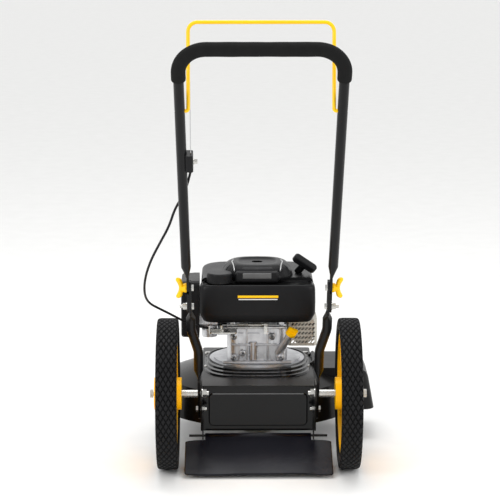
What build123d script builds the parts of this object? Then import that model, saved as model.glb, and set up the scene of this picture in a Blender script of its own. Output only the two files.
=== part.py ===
"""Walk-behind brush mower: two high rear wheels, a vertical-shaft engine on a flat frame over a
round cutter pan, a gliding support under the blade, and a folding handle with a stop bail.

Frame: millimetres, +X to the operator's right, +Y ahead, +Z up. The origin lies on the ground,
midway between the two wheels and straight below their axle.
"""

import os
from math import cos, pi, radians, sin, tan

from build123d import *

os.makedirs("parts", exist_ok=True)

# ------------------------------------------------------------------ driving dimensions
# wheels and axles
WHEEL_DIA = 355.0
TYRE_WIDTH = 49.0
TYRE_DEPTH = 31.0
TRACK = 425.0
HUB_DIA = 76.0
HUB_LENGTH = 64.0
AXLE_DIA = 12.0
SLEEVE_DIA = 18.0
RUNNING_CLEARANCE = 0.05
SIDE_GAP = 0.3

# frame
FRAME_WIDTH = 272.0
FRAME_REAR = 57.0
FRAME_FRONT = 452.0
FRAME_TOP = 181.0
SHEET = 3.0
PANEL_BOTTOM = 71.0
PANEL_FIELD_DEPTH = 4.0

# cutter
CRANK_Y = 310.0
PAN_RIM_Z = 75.0
PAN_RIM_R = 243.0
PAN_WAIST_R = 232.0
PAN_WAIST_Z = 110.0
PAN_SHOULDER_R = 222.0
PAN_SHOULDER_Z = 150.0
PAN_TOP_R = 150.0
PAN_WALL = 2.5
BLADE_LENGTH = 404.0
BLADE_WIDTH = 56.0
BLADE_THICK = 4.5
BLADE_Z = 94.0
SHAFT_DIA = 25.0
GLIDE_DIA = 132.0
GLIDE_HEIGHT = 34.0

# discharge deflector
DEFLECTOR_REAR = 232.0
DEFLECTOR_FRONT = 408.0
DEFLECTOR_REACH = 290.0
DEFLECTOR_WALL = 3.0
DEFLECTOR_HINGE_X = 141.5
DEFLECTOR_HINGE_RISE = 5.0
DEFLECTOR_CORNER = 26.0

# handle
LEAN = 30.0
TUBE_DIA = 22.0
TUBE_WALL = 1.6
ARM_LOW_X = 139.8
ARM_HIGH_X = 155.5
HANDLE_FOOT_X = 164.0
HANDLE_TOP_X = 172.5
HANDLE_TOP = 984.0
HANDLE_CORNER = 58.0
FLAT_THICK = 5.0
FLAT_WIDTH = 30.0
SLOT_PLAY = 0.6
PIVOT_S = 277.0
KNOB_S = 333.0
BOLT_DIA = 8.0
GRIP_DIA = 31.0
BAIL_DIA = 8.0
BAIL_PIVOT_S = 828.0
BAIL_LENGTH = 184.5
BAIL_LEAN = 8.0
BAIL_X = 152.5
CABLE_DIA = 5.5
WIRE_DIA = 1.6

# flap
FLAP_ROD_Y = 38.0
FLAP_ROD_Z = 64.0
FLAP_ROD_DIA = 6.0
FLAP_ROD_LENGTH = 329.0
FLAP_WIDTH = 346.0
FLAP_LENGTH = 152.0
FLAP_DROP = 20.5
FLAP_THICK = 3.0

# engine
SUMP_R = 118.0
SUMP_HEIGHT = 14.0
CASE_WIDTH = 148.0
CASE_REAR = 226.0
CASE_FRONT = 386.0
CASE_HEIGHT = 96.0
CASE_WALL = 7.0
RIB_DEPTH = 5.0
CYLINDER_WIDTH = 108.0
CYLINDER_LENGTH = 66.0
FLYWHEEL_R = 68.0
SHROUD_WIDTH = 282.0
SHROUD_BOTTOM = 309.0
SHROUD_TOP = 402.0
TANK_REAR = 166.0
TANK_FRONT = 236.0
HOUSING_FRONT = 452.0
HOUSING_WALL = 3.0
COVER_R = 88.0
COVER_TOP = 441.0
CAP_X = -92.0
CAP_Y = 203.0
CAP_DIA = 62.0
FILTER_OUTER_X = -186.0
FILTER_INNER_X = -142.0
FILTER_REAR = 205.0
FILTER_FRONT = 330.0
FILTER_BOTTOM = 262.0
FILTER_TOP = 404.0

AXLE_Z = WHEEL_DIA / 2
HALF_FRAME = FRAME_WIDTH / 2
LEAN_U = (0, -sin(radians(LEAN)), cos(radians(LEAN)))
LEAN_PLANE = Plane(
    origin=(0, 0, AXLE_Z),
    x_dir=(1, 0, 0),
    z_dir=(0, -cos(radians(LEAN)), -sin(radians(LEAN))),
)


def on_lean(x, s, back=0.0):
    """The point at x across, s up along the handle's line and back behind it."""
    return Vector(x, 0, AXLE_Z) + Vector(*LEAN_U) * s + LEAN_PLANE.z_dir * back


def side_plane(x):
    """A plane facing +X at x, with its own x axis up along the handle's line."""
    return Plane(origin=(x, 0, AXLE_Z), x_dir=LEAN_U, z_dir=(1, 0, 0))


def along_x(x, y=0.0, z=0.0):
    """A plane facing +X with its origin at the given point and its own x axis along +Y."""
    return Plane(origin=(x, y, z), x_dir=(0, 1, 0), z_dir=(1, 0, 0))


def save(builder, name):
    """Label a finished piece and write it to its own file."""
    builder.part.label = name
    export_step(builder.part, f"parts/{name}.step")


# ------------------------------------------------------------------ wheels
RIM_R = WHEEL_DIA / 2 - TYRE_DEPTH
FLAT_X = HALF_FRAME + SHEET


def make_wheel(side, sign):
    """Tyre and moulded wheel with its hub, of one side."""
    centre = sign * TRACK / 2
    with BuildPart() as tyre:
        with BuildSketch(Plane.XZ) as outline:
            with Locations((centre, RIM_R + TYRE_DEPTH / 2)):
                RectangleRounded(TYRE_WIDTH, TYRE_DEPTH, 9.0)
        revolve(axis=Axis.X)
        add(tyre.part.moved(Location((0, 0, AXLE_Z))), mode=Mode.REPLACE)
    save(tyre, f"{side}_tyre")

    web = 6.0
    with BuildPart() as rim:
        with BuildSketch(along_x(centre, 0, AXLE_Z)):
            Circle(RIM_R - SIDE_GAP)
            Circle(RIM_R - 9.0, mode=Mode.SUBTRACT)
        extrude(amount=TYRE_WIDTH / 2 - 5.0, both=True)
        with BuildSketch(along_x(centre, 0, AXLE_Z)):
            Circle(RIM_R - 8.0)
        extrude(amount=web / 2, both=True)
        with BuildSketch(along_x(centre, 0, AXLE_Z)):
            Circle(HUB_DIA / 2)
        extrude(amount=HUB_LENGTH / 2, both=True)
        with BuildSketch(along_x(centre, 0, AXLE_Z)):
            with PolarLocations((RIM_R + HUB_DIA / 2) / 2 - 3.0, 10):
                Rectangle(RIM_R - HUB_DIA / 2 - 8.0, 5.0)
        extrude(amount=TYRE_WIDTH / 2 - 9.0, both=True)
        with BuildSketch(along_x(centre, 0, AXLE_Z)):
            Circle(AXLE_DIA / 2 + RUNNING_CLEARANCE)
        extrude(amount=HUB_LENGTH, both=True, mode=Mode.SUBTRACT)
    save(rim, f"{side}_wheel_rim")


for side_name, side_sign in (("left", -1), ("right", 1)):
    make_wheel(side_name, side_sign)

HUB_IN = (TRACK - HUB_LENGTH) / 2
HUB_OUT = (TRACK + HUB_LENGTH) / 2
PLATE_IN = HALF_FRAME - SHEET
SLEEVE_IN = ARM_LOW_X + FLAT_THICK / 2 + SIDE_GAP

with BuildPart() as axles:
    for sign in (-1, 1):
        with BuildSketch(along_x(sign * (PLATE_IN - 16.0), 0, AXLE_Z)):
            Circle(AXLE_DIA / 2)
        extrude(amount=sign * (HUB_OUT - PLATE_IN + 25.0))
        with BuildSketch(along_x(sign * (HUB_OUT + 3.0), 0, AXLE_Z)):
            RegularPolygon(10.0, 6)
        extrude(amount=sign * 7.0)
save(axles, "axles")

with BuildPart() as sleeves:
    for sign in (-1, 1):
        with BuildSketch(along_x(sign * SLEEVE_IN, 0, AXLE_Z)):
            Circle(SLEEVE_DIA / 2)
            Circle(AXLE_DIA / 2 + RUNNING_CLEARANCE, mode=Mode.SUBTRACT)
        extrude(amount=sign * (HUB_IN - SLEEVE_IN - SIDE_GAP))
save(sleeves, "axle_sleeves")

with BuildPart() as axle_nuts:
    for sign in (-1, 1):
        with BuildSketch(along_x(sign * (PLATE_IN - 0.05), 0, AXLE_Z)):
            Circle(13.0)
            Circle(AXLE_DIA / 2 + RUNNING_CLEARANCE, mode=Mode.SUBTRACT)
        extrude(amount=-sign * 2.0)
        with BuildSketch(along_x(sign * (PLATE_IN - 2.05), 0, AXLE_Z)):
            RegularPolygon(10.5, 6)
            Circle(AXLE_DIA / 2 + RUNNING_CLEARANCE, mode=Mode.SUBTRACT)
        extrude(amount=-sign * 9.0)
save(axle_nuts, "axle_nuts")

# ------------------------------------------------------------------ frame
RING_R = SUMP_R + 10.0
FRAME_MID = (FRAME_REAR + FRAME_FRONT) / 2
DECK_BOLTS = [(x, CRANK_Y + y) for x in (-123.0, 123.0) for y in (-70.0, 70.0)]

with BuildPart() as frame_plate:
    with BuildSketch(Plane.XY.offset(FRAME_TOP - SHEET)):
        with Locations((0, FRAME_MID)):
            RectangleRounded(FRAME_WIDTH, FRAME_FRONT - FRAME_REAR, 8.0)
        with Locations((0, FRAME_REAR + 20.0)):
            Rectangle(FRAME_WIDTH, 40.0)
        with Locations((0, CRANK_Y)):
            Circle(40.0, mode=Mode.SUBTRACT)
        with Locations(*DECK_BOLTS):
            Circle(BOLT_DIA / 2 + 0.1, mode=Mode.SUBTRACT)
        with Locations((0, CRANK_Y)):
            with PolarLocations(99.0, 3, start_angle=90):
                Circle(BOLT_DIA / 2 + 0.1, mode=Mode.SUBTRACT)
    extrude(amount=SHEET)
save(frame_plate, "frame_plate")

with BuildPart() as engine_ring:
    with BuildSketch(Plane.XY.offset(FRAME_TOP)):
        with Locations((0, CRANK_Y)):
            Circle(RING_R)
            Circle(SUMP_R + SIDE_GAP, mode=Mode.SUBTRACT)
            with PolarLocations(RING_R, 2):
                SlotOverall(30.0, 10.0, rotation=90, mode=Mode.SUBTRACT)
    extrude(amount=7.0)
save(engine_ring, "engine_seat_ring")

with BuildPart() as rear_panel:
    panel_height = FRAME_TOP - SHEET - PANEL_BOTTOM
    with BuildSketch(Plane.XZ.offset(-FRAME_REAR - SHEET)):
        with Locations((0, PANEL_BOTTOM + panel_height / 2)):
            Rectangle(FRAME_WIDTH - 2 * SHEET, panel_height)
    extrude(amount=SHEET)
    with BuildSketch(Plane.XZ.offset(-FRAME_REAR)):
        with Locations((0, PANEL_BOTTOM + panel_height / 2 - 1.0)):
            RectangleRounded(FRAME_WIDTH - 36.0, panel_height - 26.0, 12.0)
    extrude(amount=PANEL_FIELD_DEPTH, taper=35)
    with BuildSketch(Plane.XZ.offset(-FRAME_REAR - SHEET)):
        with Locations((0, PANEL_BOTTOM + panel_height / 2 - 1.0)):
            RectangleRounded(FRAME_WIDTH - 48.0, panel_height - 38.0, 10.0)
    extrude(amount=PANEL_FIELD_DEPTH, mode=Mode.SUBTRACT)
    # two ears that carry the flap rod
    with BuildSketch(Plane.YZ.offset(-HALF_FRAME + SHEET)) as ear:
        with BuildLine():
            Polyline(
                (FRAME_REAR + 0.5, PANEL_BOTTOM + 34.0),
                (FRAME_REAR + 0.5, PANEL_BOTTOM),
                (FLAP_ROD_Y + 8.0, FLAP_ROD_Z - 8.0),
                (FLAP_ROD_Y - 8.0, FLAP_ROD_Z - 8.0),
                (FLAP_ROD_Y - 8.0, FLAP_ROD_Z + 8.0),
                close=True,
            )
        make_face()
        with Locations((FLAP_ROD_Y, FLAP_ROD_Z)):
            Circle(FLAP_ROD_DIA / 2 + RUNNING_CLEARANCE, mode=Mode.SUBTRACT)
    extrude(amount=SHEET)
    mirror(rear_panel.part, about=Plane.YZ)
save(rear_panel, "rear_panel")


def make_side_plate(side, sign):
    """Upright side of the frame, with the axle hole and the arm bolt hole."""
    with BuildPart() as plate:
        with BuildSketch(Plane.YZ.offset(sign * (HALF_FRAME - SHEET))):
            with BuildLine():
                Polyline(
                    (104.0, 100.0),
                    (104.0, FRAME_TOP - SHEET),
                    (FRAME_REAR, FRAME_TOP - SHEET),
                    (34.0, AXLE_Z + 27.0),
                    (-26.0, AXLE_Z + 27.0),
                    (-34.0, AXLE_Z - 10.0),
                    (FRAME_REAR - 46.0, PANEL_BOTTOM + 12.0),
                    (FRAME_REAR, PANEL_BOTTOM),
                    close=True,
                )
            make_face()
            with Locations((0, AXLE_Z)):
                Circle(AXLE_DIA / 2 + RUNNING_CLEARANCE, mode=Mode.SUBTRACT)
            low = on_lean(0, -52.0)
            with Locations((low.Y, low.Z)):
                Circle(BOLT_DIA / 2 + RUNNING_CLEARANCE, mode=Mode.SUBTRACT)
        extrude(amount=sign * SHEET)
    save(plate, f"{side}_side_plate")


make_side_plate("left", -1)
make_side_plate("right", 1)

# ------------------------------------------------------------------ cutter pan and deflector
PAN_TOP_Z = FRAME_TOP - SHEET


def pan_outline(inset):
    """Half section of the round pan about its own axis, moved in by inset."""
    return [
        (0, PAN_TOP_Z - inset),
        (PAN_TOP_R - inset * 0.4, PAN_TOP_Z - inset),
        (PAN_SHOULDER_R - inset, PAN_SHOULDER_Z - inset * 0.6),
        (PAN_WAIST_R - inset, PAN_WAIST_Z),
        (PAN_RIM_R - inset, PAN_RIM_Z),
        (0, PAN_RIM_Z),
    ]


CRANK_PLANE = Plane(origin=(0, CRANK_Y, 0), x_dir=(1, 0, 0), z_dir=(0, -1, 0))
CRANK_AXIS = Axis((0, CRANK_Y, 0), (0, 0, 1))

with BuildPart() as cutter_pan:
    with BuildSketch(CRANK_PLANE):
        with BuildLine():
            Polyline(*pan_outline(0.0), close=True)
        make_face()
    revolve(axis=CRANK_AXIS)
    with BuildSketch(CRANK_PLANE):
        with BuildLine():
            Polyline(*pan_outline(PAN_WALL), close=True)
        make_face()
    revolve(axis=CRANK_AXIS, mode=Mode.SUBTRACT)
    # crank opening, bolt holes, discharge opening and the flat behind
    with BuildSketch(Plane.XY.offset(PAN_TOP_Z)):
        with Locations((0, CRANK_Y)):
            Circle(40.0)
            with PolarLocations(99.0, 3, start_angle=90):
                Circle(BOLT_DIA / 2 + 0.1)
        with Locations(*DECK_BOLTS):
            Circle(BOLT_DIA / 2 + 0.1)
    extrude(amount=-PAN_WALL * 2, mode=Mode.SUBTRACT)
    with BuildSketch(Plane.XY.offset(PAN_RIM_Z)):
        with Locations((DEFLECTOR_REACH / 2 + HALF_FRAME / 2 + 6.0, (DEFLECTOR_REAR + DEFLECTOR_FRONT) / 2)):
            Rectangle(
                DEFLECTOR_REACH - HALF_FRAME, DEFLECTOR_FRONT - DEFLECTOR_REAR + 3.0
            )
    extrude(amount=PAN_TOP_Z - PAN_RIM_Z, mode=Mode.SUBTRACT)
save(cutter_pan, "cutter_pan")

HINGE_Z = FRAME_TOP + DEFLECTOR_HINGE_RISE
DEFLECTOR_MID = (DEFLECTOR_REAR + DEFLECTOR_FRONT) / 2
DEFLECTOR_IN_X = HALF_FRAME + 14.0


def deflector_outline(inset):
    """Cross section of the deflector, moved in by inset, open below and towards the pan."""
    return [
        (DEFLECTOR_IN_X, FRAME_TOP - inset),
        (252.0 - inset * 0.4, FRAME_TOP - inset),
        (269.0 - inset * 0.8, FRAME_TOP - 13.0 - inset * 0.5),
        (276.0 - inset, 152.0),
        (DEFLECTOR_REACH - inset, PAN_RIM_Z),
        (DEFLECTOR_IN_X, PAN_RIM_Z),
    ]


def deflector_block(inset, corner):
    """Closed block of the deflector, moved in by inset, with its two outer corners rounded."""
    with BuildPart() as block:
        with BuildSketch(Plane.XZ.offset(-DEFLECTOR_FRONT + inset)):
            with BuildLine():
                Polyline(*deflector_outline(inset), close=True)
            make_face()
        extrude(amount=DEFLECTOR_FRONT - DEFLECTOR_REAR - 2 * inset)
        half_length = (DEFLECTOR_FRONT - DEFLECTOR_REAR) / 2 - inset
        lower_corners = block.edges().filter_by(
            lambda e: e.center().X > 262
            and abs(abs(e.center().Y - DEFLECTOR_MID) - half_length) < 1.0
            and e.length > 20.0
            and abs(e.tangent_at(0.5).Z) > 0.5
        )
        fillet(lower_corners, corner)
    return block.part


with BuildPart() as deflector:
    add(deflector_block(0.0, DEFLECTOR_CORNER))
    add(deflector_block(DEFLECTOR_WALL, DEFLECTOR_CORNER - DEFLECTOR_WALL), mode=Mode.SUBTRACT)
    # room for the blade's sweep
    with BuildSketch(Plane.XY.offset(PAN_RIM_Z - 1.0)):
        with Locations((0, CRANK_Y)):
            Circle(BLADE_LENGTH / 2 + 8.0)
    extrude(amount=BLADE_Z + 30.0 - PAN_RIM_Z, mode=Mode.SUBTRACT)
    # hinge barrel on a short neck above the top
    with BuildSketch(Plane.XZ.offset(-DEFLECTOR_MID - 40.0)):
        with Locations((DEFLECTOR_HINGE_X, HINGE_Z)):
            Circle(5.0)
        with BuildLine():
            Polyline(
                (DEFLECTOR_HINGE_X, HINGE_Z + 4.0),
                (DEFLECTOR_HINGE_X + 3.0, HINGE_Z + 4.0),
                (DEFLECTOR_IN_X + 14.0, FRAME_TOP),
                (DEFLECTOR_IN_X + 14.0, FRAME_TOP - DEFLECTOR_WALL),
                (DEFLECTOR_IN_X, FRAME_TOP - DEFLECTOR_WALL),
                (DEFLECTOR_IN_X, FRAME_TOP + 1.0),
                (DEFLECTOR_HINGE_X, HINGE_Z - 4.0),
                close=True,
            )
        make_face()
    extrude(amount=80.0)
    with BuildSketch(Plane.XZ.offset(-DEFLECTOR_MID - 90.0)):
        with Locations((DEFLECTOR_HINGE_X, HINGE_Z)):
            Circle(3.0 + RUNNING_CLEARANCE)
    extrude(amount=180.0, mode=Mode.SUBTRACT)
save(deflector, "discharge_deflector")

with BuildPart() as deflector_hinge:
    for mid in (DEFLECTOR_MID - 46.3, DEFLECTOR_MID + 46.3):
        with BuildSketch(Plane.XZ.offset(-mid - 6.0)):
            with Locations((DEFLECTOR_HINGE_X, HINGE_Z)):
                Circle(5.0)
            with BuildLine():
                Polyline(
                    (HALF_FRAME - 6.0, FRAME_TOP),
                    (DEFLECTOR_HINGE_X - 5.6, FRAME_TOP),
                    (DEFLECTOR_HINGE_X + 4.0, HINGE_Z - 3.0),
                    (DEFLECTOR_HINGE_X, HINGE_Z + 5.0),
                    (HALF_FRAME - 6.0, FRAME_TOP + 3.0),
                    close=True,
                )
            make_face()
        extrude(amount=12.0)
    with BuildSketch(Plane.XZ.offset(-DEFLECTOR_MID - 54.0)):
        with Locations((DEFLECTOR_HINGE_X, HINGE_Z)):
            Circle(3.0)
    extrude(amount=108.0)
save(deflector_hinge, "deflector_hinge")

# ------------------------------------------------------------------ flap
FLAP_DIR = Vector(0, -cos(radians(FLAP_DROP)), -sin(radians(FLAP_DROP)))
FLAP_PLANE = Plane(
    origin=(0, FLAP_ROD_Y, FLAP_ROD_Z), x_dir=(1, 0, 0), z_dir=Vector(1, 0, 0).cross(FLAP_DIR)
)

with BuildPart() as flap_rod:
    with BuildSketch(along_x(-FLAP_ROD_LENGTH / 2, FLAP_ROD_Y, FLAP_ROD_Z)):
        Circle(FLAP_ROD_DIA / 2)
    extrude(amount=FLAP_ROD_LENGTH)
save(flap_rod, "flap_rod")

with BuildPart() as flap:
    hem = FLAP_ROD_DIA / 2 + FLAP_THICK
    tab_half = 136.0 * 1.0 - 10.0
    with BuildSketch(along_x(-tab_half, FLAP_ROD_Y, FLAP_ROD_Z)):
        Circle(hem)
    extrude(amount=2 * tab_half)
    with BuildSketch(FLAP_PLANE):
        with Locations((0, FLAP_LENGTH / 2)):
            Rectangle(2 * tab_half, FLAP_LENGTH)
        with Locations((0, FLAP_LENGTH - (FLAP_LENGTH - 20.0) / 2)):
            RectangleRounded(FLAP_WIDTH, FLAP_LENGTH - 20.0, 8.0)
    extrude(amount=FLAP_THICK / 2, both=True)
    with BuildSketch(along_x(-tab_half, FLAP_ROD_Y, FLAP_ROD_Z)):
        Circle(FLAP_ROD_DIA / 2 + RUNNING_CLEARANCE)
    extrude(amount=2 * tab_half, mode=Mode.SUBTRACT)
save(flap, "rear_flap")


# ------------------------------------------------------------------ arms and handle
def flat_bar(x_mid, s_low, s_high, open_slot=None):
    """Flattened end of a tube: a rounded strip facing X, with a slot open to the rear if asked."""
    with BuildPart() as bar:
        with BuildSketch(side_plane(x_mid)):
            with Locations(((s_low + s_high) / 2, 0)):
                RectangleRounded(s_high - s_low, FLAT_WIDTH, FLAT_WIDTH / 2 - 0.5)
            if open_slot is not None:
                with Locations((open_slot, 0)):
                    Circle(BOLT_DIA / 2 + SLOT_PLAY, mode=Mode.SUBTRACT)
        extrude(amount=FLAT_THICK / 2, both=True)
        if open_slot is not None:
            # the slot follows the clamp bolt's path round the pivot
            path_r = open_slot - PIVOT_S
            with BuildSketch(side_plane(x_mid)):
                with Locations((PIVOT_S, 0)):
                    Circle(path_r + BOLT_DIA / 2 + SLOT_PLAY)
                    Circle(path_r - BOLT_DIA / 2 - SLOT_PLAY, mode=Mode.SUBTRACT)
                with Locations((open_slot, FLAT_WIDTH / 2)):
                    Rectangle(path_r, FLAT_WIDTH, mode=Mode.INTERSECT)
            extrude(amount=FLAT_THICK, both=True, mode=Mode.SUBTRACT)
    return bar.part


def squash(tube_end, x_flat, s_flat):
    """Solid that passes from the round tube, at the plane tube_end, to its flattened end."""
    flat = Plane(origin=on_lean(x_flat, s_flat), x_dir=(1, 0, 0), z_dir=LEAN_U)
    with BuildPart() as neck:
        with BuildSketch(tube_end):
            Circle(TUBE_DIA / 2)
        with BuildSketch(flat):
            Ellipse(FLAT_THICK / 2, FLAT_WIDTH / 2 - 1.0)
        loft()
    return neck.part


ARM_FLAT_LOW = (-78.0, 62.0)
ARM_FLAT_HIGH = (251.0, 352.0)


def make_arm(side, sign):
    """Lower arm: flattened foot on the frame, bent tube, flattened head for the handle."""
    with BuildPart() as arm:
        with BuildLine(LEAN_PLANE) as route:
            FilletPolyline(
                (sign * ARM_LOW_X, 78.0),
                (sign * ARM_LOW_X, 138.0),
                (sign * ARM_HIGH_X, 206.0),
                (sign * ARM_HIGH_X, 240.0),
                radius=60.0,
            )
        with BuildSketch(Plane(origin=route.line @ 0, z_dir=route.line % 0)):
            Circle(TUBE_DIA / 2)
            Circle(TUBE_DIA / 2 - TUBE_WALL, mode=Mode.SUBTRACT)
        sweep(path=route.line)
        low_end = Plane(origin=route.line @ 0, x_dir=(1, 0, 0), z_dir=LEAN_U)
        high_end = Plane(origin=route.line @ 1, x_dir=(1, 0, 0), z_dir=LEAN_U)
        add(squash(low_end, sign * ARM_LOW_X, 56.0))
        add(squash(high_end, sign * ARM_HIGH_X, 258.0))
        add(flat_bar(sign * ARM_LOW_X, *ARM_FLAT_LOW))
        add(flat_bar(sign * ARM_HIGH_X, *ARM_FLAT_HIGH))
        with BuildSketch(side_plane(sign * ARM_LOW_X)):
            with Locations((0, 0)):
                Circle(AXLE_DIA / 2 + RUNNING_CLEARANCE)
            with Locations((-52.0, 0)):
                Circle(BOLT_DIA / 2 + RUNNING_CLEARANCE)
        extrude(amount=FLAT_THICK, both=True, mode=Mode.SUBTRACT)
        with BuildSketch(side_plane(sign * ARM_HIGH_X)):
            with Locations((PIVOT_S, 0), (KNOB_S, 0)):
                Circle(BOLT_DIA / 2 + RUNNING_CLEARANCE)
        extrude(amount=FLAT_THICK, both=True, mode=Mode.SUBTRACT)
    save(arm, f"{side}_lower_arm")


make_arm("left", -1)
make_arm("right", 1)

HANDLE_FLAT_X = ARM_HIGH_X + FLAT_THICK + SIDE_GAP
FOOT_S = 396.0

with BuildPart() as handle:
    with BuildLine(LEAN_PLANE) as hoop:
        FilletPolyline(
            (-HANDLE_FOOT_X, FOOT_S),
            (-HANDLE_TOP_X, HANDLE_TOP),
            (HANDLE_TOP_X, HANDLE_TOP),
            (HANDLE_FOOT_X, FOOT_S),
            radius=HANDLE_CORNER,
        )
    with BuildSketch(Plane(origin=hoop.line @ 0, z_dir=hoop.line % 0)):
        Circle(TUBE_DIA / 2)
        Circle(TUBE_DIA / 2 - TUBE_WALL, mode=Mode.SUBTRACT)
    sweep(path=hoop.line)
    for sign in (-1, 1):
        at_end = 0 if sign < 0 else 1
        foot_dir = (hoop.line % at_end) * -sign
        foot_end = Plane(origin=hoop.line @ at_end, x_dir=LEAN_PLANE.z_dir.cross(foot_dir), z_dir=foot_dir)
        add(squash(foot_end, sign * HANDLE_FLAT_X, 366.0))
        add(flat_bar(sign * HANDLE_FLAT_X, 262.5, 374.0, open_slot=KNOB_S))
        with BuildSketch(side_plane(sign * HANDLE_FLAT_X)):
            with Locations((PIVOT_S, 0)):
                Circle(BOLT_DIA / 2 + RUNNING_CLEARANCE)
        extrude(amount=FLAT_THICK, both=True, mode=Mode.SUBTRACT)
        # bore for the end of the bail
        with BuildSketch(side_plane(0)):
            with Locations((BAIL_PIVOT_S, 0)):
                Circle(BAIL_DIA / 2 + RUNNING_CLEARANCE)
        extrude(amount=sign * 200.0, mode=Mode.SUBTRACT)
save(handle, "upper_handle")


def hoop_x(s):
    """Half width of the handle's centre line at s."""
    share = (s - FOOT_S) / (HANDLE_TOP - FOOT_S)
    return HANDLE_FOOT_X + share * (HANDLE_TOP_X - HANDLE_FOOT_X)


GRIP_END_S = 906.0
with BuildPart() as grip:
    with BuildLine(LEAN_PLANE) as grip_line:
        FilletPolyline(
            (-hoop_x(GRIP_END_S), GRIP_END_S),
            (-HANDLE_TOP_X, HANDLE_TOP),
            (HANDLE_TOP_X, HANDLE_TOP),
            (hoop_x(GRIP_END_S), GRIP_END_S),
            radius=HANDLE_CORNER,
        )
    with BuildSketch(Plane(origin=grip_line.line @ 0, z_dir=grip_line.line % 0)):
        Circle(GRIP_DIA / 2)
        Circle(TUBE_DIA / 2 + RUNNING_CLEARANCE, mode=Mode.SUBTRACT)
    sweep(path=grip_line.line)
save(grip, "foam_grip")

# ------------------------------------------------------------------ bail
BAIL_PIVOT = on_lean(0, BAIL_PIVOT_S)
BAIL_PLANE = Plane(
    origin=BAIL_PIVOT,
    x_dir=(1, 0, 0),
    z_dir=(0, -cos(radians(BAIL_LEAN)), sin(radians(BAIL_LEAN))),
)
BAIL_END_X = hoop_x(BAIL_PIVOT_S) + TUBE_DIA / 2 - TUBE_WALL - 2.0

with BuildPart() as bail:
    with BuildLine(BAIL_PLANE) as bail_line:
        FilletPolyline(
            (-BAIL_END_X, 0),
            (-BAIL_X, 0),
            (-BAIL_X, BAIL_LENGTH),
            (BAIL_X, BAIL_LENGTH),
            (BAIL_X, 0),
            (BAIL_END_X, 0),
            radius=[5.0, 20.0, 20.0, 5.0],
        )
    with BuildSketch(Plane(origin=bail_line.line @ 0, z_dir=bail_line.line % 0)):
        Circle(BAIL_DIA / 2)
    sweep(path=bail_line.line)
    # cable tab welded to the left leg
    with BuildSketch(Plane(origin=BAIL_PIVOT + Vector(-BAIL_X, 0, 0), x_dir=BAIL_PLANE.y_dir, z_dir=(1, 0, 0))):
        with Locations((52.0, -5.0)):
            RectangleRounded(60.0, 9.0, 2.0)
    extrude(amount=2.5, both=True)
save(bail, "stop_bail")

# ------------------------------------------------------------------ control cable
CLAMP_S = 694.0
CLAMP_X = -hoop_x(CLAMP_S) + 12.0
WIRE_X = -BAIL_X + 2.5 + WIRE_DIA / 2 + 0.2
with BuildPart() as clamp:
    with BuildSketch(Plane(origin=on_lean(CLAMP_X + 4.0, CLAMP_S - 22.0), x_dir=(1, 0, 0), z_dir=LEAN_U)):
        RectangleRounded(17.0, 22.0, 4.0)
        with Locations((-hoop_x(CLAMP_S) - CLAMP_X - 4.0, 0)):
            Circle(TUBE_DIA / 2 + 0.6, mode=Mode.SUBTRACT)
        with Locations((WIRE_X - CLAMP_X - 4.0, 0)):
            Circle(WIRE_DIA / 2 + 0.4, mode=Mode.SUBTRACT)
    extrude(amount=44.0)
save(clamp, "cable_clamp")

with BuildPart() as clamp_bolt:
    with BuildSketch(side_plane(CLAMP_X + 12.6)):
        with Locations((CLAMP_S, 0)):
            Circle(6.0)
    extrude(amount=2.0)
    with BuildSketch(side_plane(CLAMP_X + 14.6)):
        with Locations((CLAMP_S, 0)):
            RegularPolygon(5.5, 6)
    extrude(amount=7.0)
save(clamp_bolt, "cable_clamp_bolt")

WIRE_TOP = BAIL_PIVOT + Vector(WIRE_X, 0, 0) + BAIL_PLANE.y_dir * 60.0 - BAIL_PLANE.z_dir * 5.5
WIRE_LOW = on_lean(WIRE_X, CLAMP_S + 22.3)
with BuildPart() as wire:
    with BuildLine() as wire_line:
        Line(WIRE_LOW, WIRE_TOP)
    with BuildSketch(Plane(origin=wire_line.line @ 0, z_dir=wire_line.line % 0)):
        Circle(WIRE_DIA / 2)
    sweep(path=wire_line.line)
save(wire, "bail_wire")

# the cable hangs outside the left tube and comes back to the engine's stop lever
CABLE_START = on_lean(WIRE_X, CLAMP_S - 22.7)
CABLE_POINTS = [
    tuple(CABLE_START),
    (-160.0, -287.0, 706.0),
    (-186.0, -262.0, 663.0),
    (-199.0, -238.0, 620.0),
    (-221.0, -212.0, 577.0),
    (-241.0, -182.0, 536.0),
    (-255.0, -146.0, 495.0),
    (-262.0, -104.0, 456.0),
    (-262.0, -54.0, 421.0),
    (-254.0, 4.0, 393.0),
    (-237.0, 62.0, 370.0),
    (-211.0, 112.0, 345.0),
    (-178.0, 150.0, 318.0),
    (-146.0, 172.0, 300.0),
    (-120.3, 187.0, 292.5),
]


def corner_radii(points):
    """Radius of each corner: 0.45 of the shorter run over the tangent of half the turn."""
    radii = []
    for before, here, after in zip(points, points[1:], points[2:]):
        run_in = Vector(here) - Vector(before)
        run_out = Vector(after) - Vector(here)
        half_turn = radians(run_in.get_angle(run_out)) / 2
        radii.append(0.45 * min(run_in.length, run_out.length) / tan(half_turn))
    return radii


CABLE_RADII = corner_radii(CABLE_POINTS)
with BuildPart() as cable:
    with BuildLine() as cable_line:
        FilletPolyline(*CABLE_POINTS, radius=CABLE_RADII)
    with BuildSketch(Plane(origin=cable_line.line @ 0, z_dir=cable_line.line % 0)):
        Circle(CABLE_DIA / 2)
    sweep(path=cable_line.line)
save(cable, "control_cable")
CABLE_LENGTH = sum(edge.length for edge in cable_line.line.edges())
print("cable length", round(CABLE_LENGTH, 1))
print("cable radii", [round(r) for r in CABLE_RADII])
cable_section = pi * CABLE_DIA**2 / 4
print("cable volume over section x length", round(cable.part.volume / (cable_section * CABLE_LENGTH), 5))


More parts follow.
